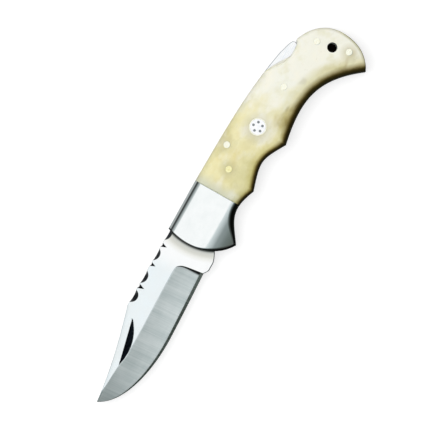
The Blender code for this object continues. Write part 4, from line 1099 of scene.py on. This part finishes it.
def bolster_sheet():
    """Outer face of the mark side bolster: flat, with a wheel's crown that falls to the guard, and a round
    along each edge. The front's round widens down to the guard's point and the belly's narrows to it. Gives
    how dark the painted shade lies too, on the face and at the foot of the walls below it."""
    joint = np.array((BOLSTER_BELLY[-1], JOINT_TOP))
    spine = np.array((FRONT_TOP, JOINT_TOP))
    sheet = patch(BOLSTER_BELLY, spine, FRONT, joint, *(spaced(*points) for points in BOLSTER_POINTS))
    below = np.maximum(CROWN_START - sheet[..., 1], 0)
    crown = CROWN_RADIUS - np.sqrt(CROWN_RADIUS**2 - below**2)
    lower = smooth(*GUARD_FADE, sheet[..., 1])
    front = FRONT_ROUND + (GUARD_FRONT_ROUND - FRONT_ROUND) * lower
    behind = smooth(*GUARD_RUN, sheet[..., 0])
    belly = GUARD_BELLY_ROUND + (BOLSTER_BELLY_ROUND - GUARD_BELLY_ROUND) * behind
    drop = rim(sheet, (spine, SPINE_ROUND), (BOLSTER_BELLY, belly), (FRONT, front), (joint, JOINT_ROUND))
    painted_dark = 1 - smooth(*SHADE_FADE, distance(sheet, FRONT) / (SHADE_REACH + (GUARD_SHADE_REACH - SHADE_REACH) * lower))
    belly_painted_dark = 1 - smooth(*BELLY_SHADE_FADE, distance(sheet, BOLSTER_BELLY) / (belly * BELLY_SHADE))
    off = np.abs(distance(sheet, spine) - SPINE_SHADE)
    spine_painted_dark = np.clip(SPINE_SHADE_PEAK - off / SPINE_SHADE_HALF, 0, 1)
    face = np.maximum(np.maximum(painted_dark, belly_painted_dark), spine_painted_dark)
    foot = np.maximum(WALL_SHADE[0] * painted_dark, WALL_SHADE[1] * belly_painted_dark)
    return sheet, KNIFE_TOP - crown - drop, (face, foot)


def scale_sheet():
    """Outer face of the mark side scale: a slight swell that falls to the edges, and a round along each
    edge. Gives the lanyard hole's cells, and how much painted shade the face and the walls below it have."""
    belly = joined(SCALE_GROOVE, BELLY_FRONT, BELLY_REAR)
    joint = np.array((SCALE_GROOVE[0], JOINT_TOP))
    spine = joined(SCALE_SPINE, THUMB[::-1])
    run = lengths(belly)
    nearest = [np.argmin(np.linalg.norm(belly - cusp, axis=1)) for cusp in (FRONT_CUSP, REAR_CUSP)]
    first, second = run[nearest] / run[-1]
    us = np.concatenate((
        np.linspace(0, first, GROOVE_POINTS)[:-1],
        first + (second - first) * spaced(*MIDDLE_POINTS)[:-1],
        second + (1 - second) * (1 - (1 - np.linspace(0, 1, REAR_POINTS)) ** REAR_POWER),
    ))
    sheet = patch(belly, spine, joint, BUTT, us, spaced(*SCALE_POINTS_ACROSS))
    kept = open_hole(sheet, np.array(LANYARD), LANYARD_RADIUS, *LANYARD_RING)
    edges = ((belly, BELLY_ROUND), (BUTT, BUTT_ROUND), (THUMB, THUMB_ROUND), (SCALE_SPINE, SPINE_ROUND))
    drop = rim(sheet, *edges, (joint, JOINT_ROUND))
    away = distance(sheet, joined(belly, BUTT, THUMB, SCALE_SPINE[::-1]))
    swell = SWELL_FALL * np.clip(1 - away / SWELL_WIDTH, 0, 1) ** 2
    places, widths = np.array(EDGE_SHADE_WIDTHS).T
    reach = EDGE_SHADE_REACH * np.interp(sheet[..., 0], places * MM, widths)
    painted_edge_shade = np.clip(1 - distance(sheet, belly) / reach, 0, 1)
    low_butt = BUTT_SHADE[0] + BUTT_SHADE[1] * smooth(*BUTT_SHADE_FADE, sheet[..., 1])
    painted_edge_shade = np.maximum(painted_edge_shade, low_butt * np.clip(1 - distance(sheet, BUTT) / BUTT_SHADE_REACH, 0, 1))
    # The wall of the lanyard hole is brown-black painted shade from halfway down.
    radii = np.linalg.norm(sheet - LANYARD, axis=2) / LANYARD_RADIUS
    deep = HOLE_SHADE * np.clip(HOLE_SHADE_END - radii, 0, 1)
    return sheet, KNIFE_TOP - SCALE_STEP - swell - drop, kept, (painted_edge_shade, np.maximum(painted_edge_shade, deep))


def cover(name, sheet, heights, look, darkening, marks, kept=None):
    """The two covers of one kind, from the outer face to the liner, mark side and pile side. The painted
    shade's marks are those of the outer face and of the inner."""
    for word in ("mark", "pile"):
        outer = np.dstack((sheet, heights))
        inner = np.dstack((sheet, np.full_like(heights, MARK_LINER_TOP)))
        if word == "pile":
            outer, inner = other_side(outer), other_side(inner)
        obj, _ = slab(f"{word}_{name}_dressed", outer, inner, kept)
        mark(obj, darkening, np.concatenate([held.ravel() for held in marks]))
        finish(obj, [look], crease=COVER_CREASE)
        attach(obj, "handle")
        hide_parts(f"{word}_{name}")


# Pins


def turned(node, centre, profile, look, steps=64):
    """Piece for a node: a profile of radius and height turned round the pin's axis."""
    angles = np.linspace(0, 2 * math.pi, steps, endpoint=False)
    profile = np.array(profile)
    ring = np.column_stack((np.cos(angles), np.sin(angles)))
    flat = ring[None] * profile[:, 0][:, None, None] + np.array(centre)
    heights = np.broadcast_to(profile[:, 1][:, None], flat.shape[:2])
    points = np.dstack((flat, heights)).reshape(-1, 3)
    obj = solid(node + "_dressed", points, ring_walls(len(profile), steps))
    finish(obj, [look])
    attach(obj, "handle")
    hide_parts(node)


def domed(low, high, radius):
    """Profile of a pin that ends in low domes: each falls by the dome's height times the radius's square,
    and past nine tenths of the radius by the edge's height times the square of what is left."""
    shares = np.array((0, 0.2, 0.4, 0.6, 0.75, 0.85, 0.9, 0.92, 0.95, 0.98, 1.0))
    fall = PIN_DOME * shares**2 + PIN_EDGE * (np.maximum(shares - 0.9, 0) / 0.1) ** 2
    lower = np.column_stack((radius * shares, low + fall))
    upper = np.column_stack((radius * shares[::-1], high - fall[::-1]))
    return np.concatenate((lower, upper))


def small_pin(node, look):
    """A small pin with its two domes, where the CAD has it."""
    low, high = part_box(node)
    centre = ((low.x + high.x) / 2, (low.y + high.y) / 2)
    turned(node, centre, domed(low.z, high.z, PIN_RADIUS), look)


def pins(nickel, brass, resin, rod_steel):
    """All pins that show, flush to a hair above the bone."""
    for node in ("rocker_pin", "spring_pin", "butt_pin_upper", "butt_pin_lower"):
        small_pin(node, nickel)
    pile_top, pile_floor = KNIFE_TOP - PIN_TOP, KNIFE_TOP - MARK_CAVITY_TOP
    for word, low, high in (("mark", MARK_CAVITY_TOP, PIN_TOP), ("pile", pile_top, pile_floor)):
        small_pin(f"{word}_front_pin", brass)
        tube = [
            (MOSAIC_BORE, low),
            (MOSAIC_RADIUS - TUBE_EDGE, low),
            (MOSAIC_RADIUS, low + TUBE_EDGE),
            (MOSAIC_RADIUS, high - TUBE_EDGE),
            (MOSAIC_RADIUS - TUBE_EDGE, high),
            (MOSAIC_BORE, high),
            (MOSAIC_BORE, low),
        ]
        turned(f"{word}_mosaic_tube", MOSAIC_PIN, tube, nickel, 96)
        core = [(0, low), (MOSAIC_CORE, low), (MOSAIC_CORE, high), (0, high)]
        turned(f"{word}_mosaic_core", MOSAIC_PIN, core, resin, 96)
        for number in range(ROD_COUNT):
            angle = ROD_TURN + 2 * math.pi * number / ROD_COUNT
            x, y = ROD_RING * math.cos(angle), ROD_RING * math.sin(angle)
            centre = (MOSAIC_PIN[0] + x, MOSAIC_PIN[1] + y)
            proud = domed(low - ROD_PROUD, high + ROD_PROUD, ROD_RADIUS)
            turned(f"{word}_mosaic_rod_{number + 1}", centre, proud, rod_steel, 32)


# Studio


def only_reflected(obj):
    """Leaves a card of the studio to reflections alone."""
    obj.visible_camera = obj.visible_diffuse = obj.visible_transmission = False
    obj.visible_volume_scatter = obj.visible_shadow = False


def glowing(obj, name, colour_of):
    """Gives a card a paper that glows in the colour that colour_of makes of the place on it."""
    paper, tree = material(name)
    place = add(tree, "SeparateXYZ", {0: add(tree, "TexCoord", out="Object")})
    glow = add(tree, "Emission", {"Color": colour_of(tree, place.node.outputs)})
    add(tree, "OutputMaterial", {"Surface": glow})
    obj.data.materials.append(paper)


def tent_colour(tree, place):
    """White overhead and grey all round, by the angle from overhead towards the belly side. Over the
    tip and the butt it is one grey."""
    belly = add(tree, "Math", {0: place["Y"], 1: -1.0}, operation="MULTIPLY")
    angle = add(tree, "Math", {0: belly, 1: place["Z"]}, operation="ARCTAN2")
    share = add(tree, "Math", {0: angle, 1: 1 / math.pi, 2: 0.5}, operation="MULTIPLY_ADD")
    graded = add(tree, "ValToRGB", {0: share}, stops=[(0.5 + turn / 180, code) for turn, code in TENT_GREYS])
    reach = add(tree, "Math", {0: place["X"]}, operation="ABSOLUTE")
    lean = add(tree, "Math", {0: reach, 1: place["Z"]}, operation="ARCTAN2")
    return tinted(tree, lean, *TENT_ENDS, graded, TENT_END_GREY, interpolation_type="SMOOTHSTEP")


def light_tent():
    """Half sphere of paper round the knife, seen in its metal alone. At turn a and height angle h its
    point is the radius times cos h cos a, cos h sin a and sin h."""
    turns, heights = np.linspace(0, 2 * math.pi, 65), np.linspace(0, math.pi / 2, 17)
    turns, heights = np.meshgrid(turns, heights, indexing="ij")
    level = np.cos(heights)
    points = np.dstack((level * np.cos(turns), level * np.sin(turns), np.sin(heights))) * TENT_RADIUS
    index = np.arange(points[..., 0].size).reshape(points.shape[:2])
    faces = np.stack((index[:-1, :-1], index[:-1, 1:], index[1:, 1:], index[1:, :-1]), axis=2)
    tent = solid("light_tent", points.reshape(-1, 3), faces.reshape(-1, 4))
    only_reflected(tent)
    glowing(tent, "graded_tent_paper", tent_colour)


def square(name, half, height):
    """Flat square on the studio's floor."""
    corners = [(-half, -half, height), (half, -half, height), (half, half, height), (-half, half, height)]
    return solid(name, corners, [(0, 1, 2, 3)])


def card_colour(tree, place):
    """Grey, and lighter towards the spine side."""
    return tinted(tree, place["Y"], *CARD_FADE, *CARD_GREYS)


def floor_card():
    """Card on the floor round the knife, seen in its metal alone."""
    card = square("floor_card", CARD_HALF, CARD_LIFT)
    only_reflected(card)
    glowing(card, "graded_floor_card", card_colour)


def dark_below_hole():
    """Black dot on the floor under the lanyard hole, a painted shade that makes the hole read as deep."""
    edge = circle(LANYARD, DOT_RADIUS)
    points = np.column_stack((edge, np.full(len(edge), CARD_LIFT / 2)))
    dot = solid("hole_shade_dot", points, [tuple(range(len(points)))])
    hole_shade, tree = material("painted_hole_shade")
    mottle = grain(tree, (0.3, 0.3, 0.3), 2.0)
    colour = add(tree, "Mix", {0: mottle, 6: linear("1A140E"), 7: linear("33281C")}, 2, data_type="RGBA")
    add(tree, "OutputMaterial", {"Surface": add(tree, "BsdfDiffuse", {"Color": colour})})
    dot.data.materials.append(hole_shade)


def seen(tree):
    """1 where a ray comes from the camera, off something glossy or through something clear, 0 where it
    only lights."""
    rays = add(tree, "LightPath").node.outputs
    some = add(tree, "Math", {0: rays["Is Camera Ray"], 1: rays["Is Glossy Ray"]}, operation="ADD")
    return add(tree, "Math", {0: some, 1: rays["Is Transmission Ray"]}, operation="ADD", use_clamp=True)


def studio():
    """A white floor that keeps the shadow, an even pale room and one soft lamp almost overhead."""
    scene = bpy.context.scene
    scene.view_settings.view_transform = "Standard"

    floor = square("floor", FLOOR_HALF, 0)
    paper, tree = material("white_paper")
    glow = add(tree, "Math", {0: seen(tree), 1: FLOOR_GLOW}, operation="MULTIPLY")
    fibres = grain(tree, (2.0, 2.0, 2.0), 2.0)
    tone = add(tree, "Mix", {0: fibres, 6: linear("BEBEBE"), 7: linear("B9B9B9")}, 2, data_type="RGBA")
    matt = add(tree, "BsdfDiffuse", {"Color": tone})
    both = add(tree, "AddShader", {0: matt, 1: add(tree, "Emission", {"Strength": glow})})
    add(tree, "OutputMaterial", {"Surface": both})
    floor.data.materials.append(paper)

    room = bpy.data.worlds.new("studio")
    scene.world = room
    room.use_nodes = True
    tree = room.node_tree
    tree.nodes.clear()
    level = add(tree, "MapRange", {0: seen(tree), 3: ROOM_LIGHT, 4: 1.0})
    add(tree, "OutputWorld", {"Surface": add(tree, "Background", {"Strength": level})})
    room.cycles.sampling_method = "NONE"

    lamp = bpy.data.lights.new("softbox", "AREA")
    lamp.shape = "SQUARE"
    lamp.size = LAMP_SIZE
    lamp.energy = LAMP_POWER
    held = bpy.data.objects.new("softbox", lamp)
    held.location = LAMP_PLACE
    held.rotation_euler = (math.atan2(-LAMP_PLACE[1], LAMP_PLACE[2]), 0, 0)
    held.visible_glossy = False
    scene.collection.objects.link(held)


def camera():
    """A long lens straight above the knife, turned so that the handle points up and to the right."""
    lens = bpy.data.cameras.new("camera")
    lens.lens = LENS
    lens.sensor_width = SENSOR
    held = bpy.data.objects.new("camera", lens)
    held.location = (*FRAME_CENTRE, FRAME_HEIGHT + FRAME_WIDTH * LENS / SENSOR)
    held.rotation_euler = (0, 0, -FRAME_TURN)
    bpy.context.scene.collection.objects.link(held)
    bpy.context.scene.camera = held


def dress():
    """Gives the CAD nodes that stay their materials, and builds the pieces that stand for the rest."""
    blade_piece([polished_blade_steel(), ground_blade_steel(), sharpened_steel(), file_cut_steel()])
    # The bolsters carry painted shade along their front, belly and spine, and the scales along their belly
    # and in the lanyard hole.
    sheet, heights, painted_dark = bolster_sheet()
    cover("bolster", sheet, heights, mirror_nickel(), "painted_shade", painted_dark)
    sheet, heights, kept, painted_edge_shade = scale_sheet()
    cover("scale", sheet, heights, polished_bone(), "painted_edge_shade", painted_edge_shade, kept)
    nickel = pin_metal()
    pins(nickel, front_pin_metal(), mosaic_resin(), mosaic_rod())
    liner, lock = liner_steel(), lock_steel()
    bar_piece(lock)
    looks = {
        "mark_liner": liner,
        "pile_liner": liner,
        "back_spacer": liner,
        "lock_spring": lock,
        "pivot_pin": nickel,
    }
    for node, look in looks.items():
        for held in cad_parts[node].material_slots:
            held.material = look


dress()
studio()
light_tent()
floor_card()
dark_below_hole()
camera()
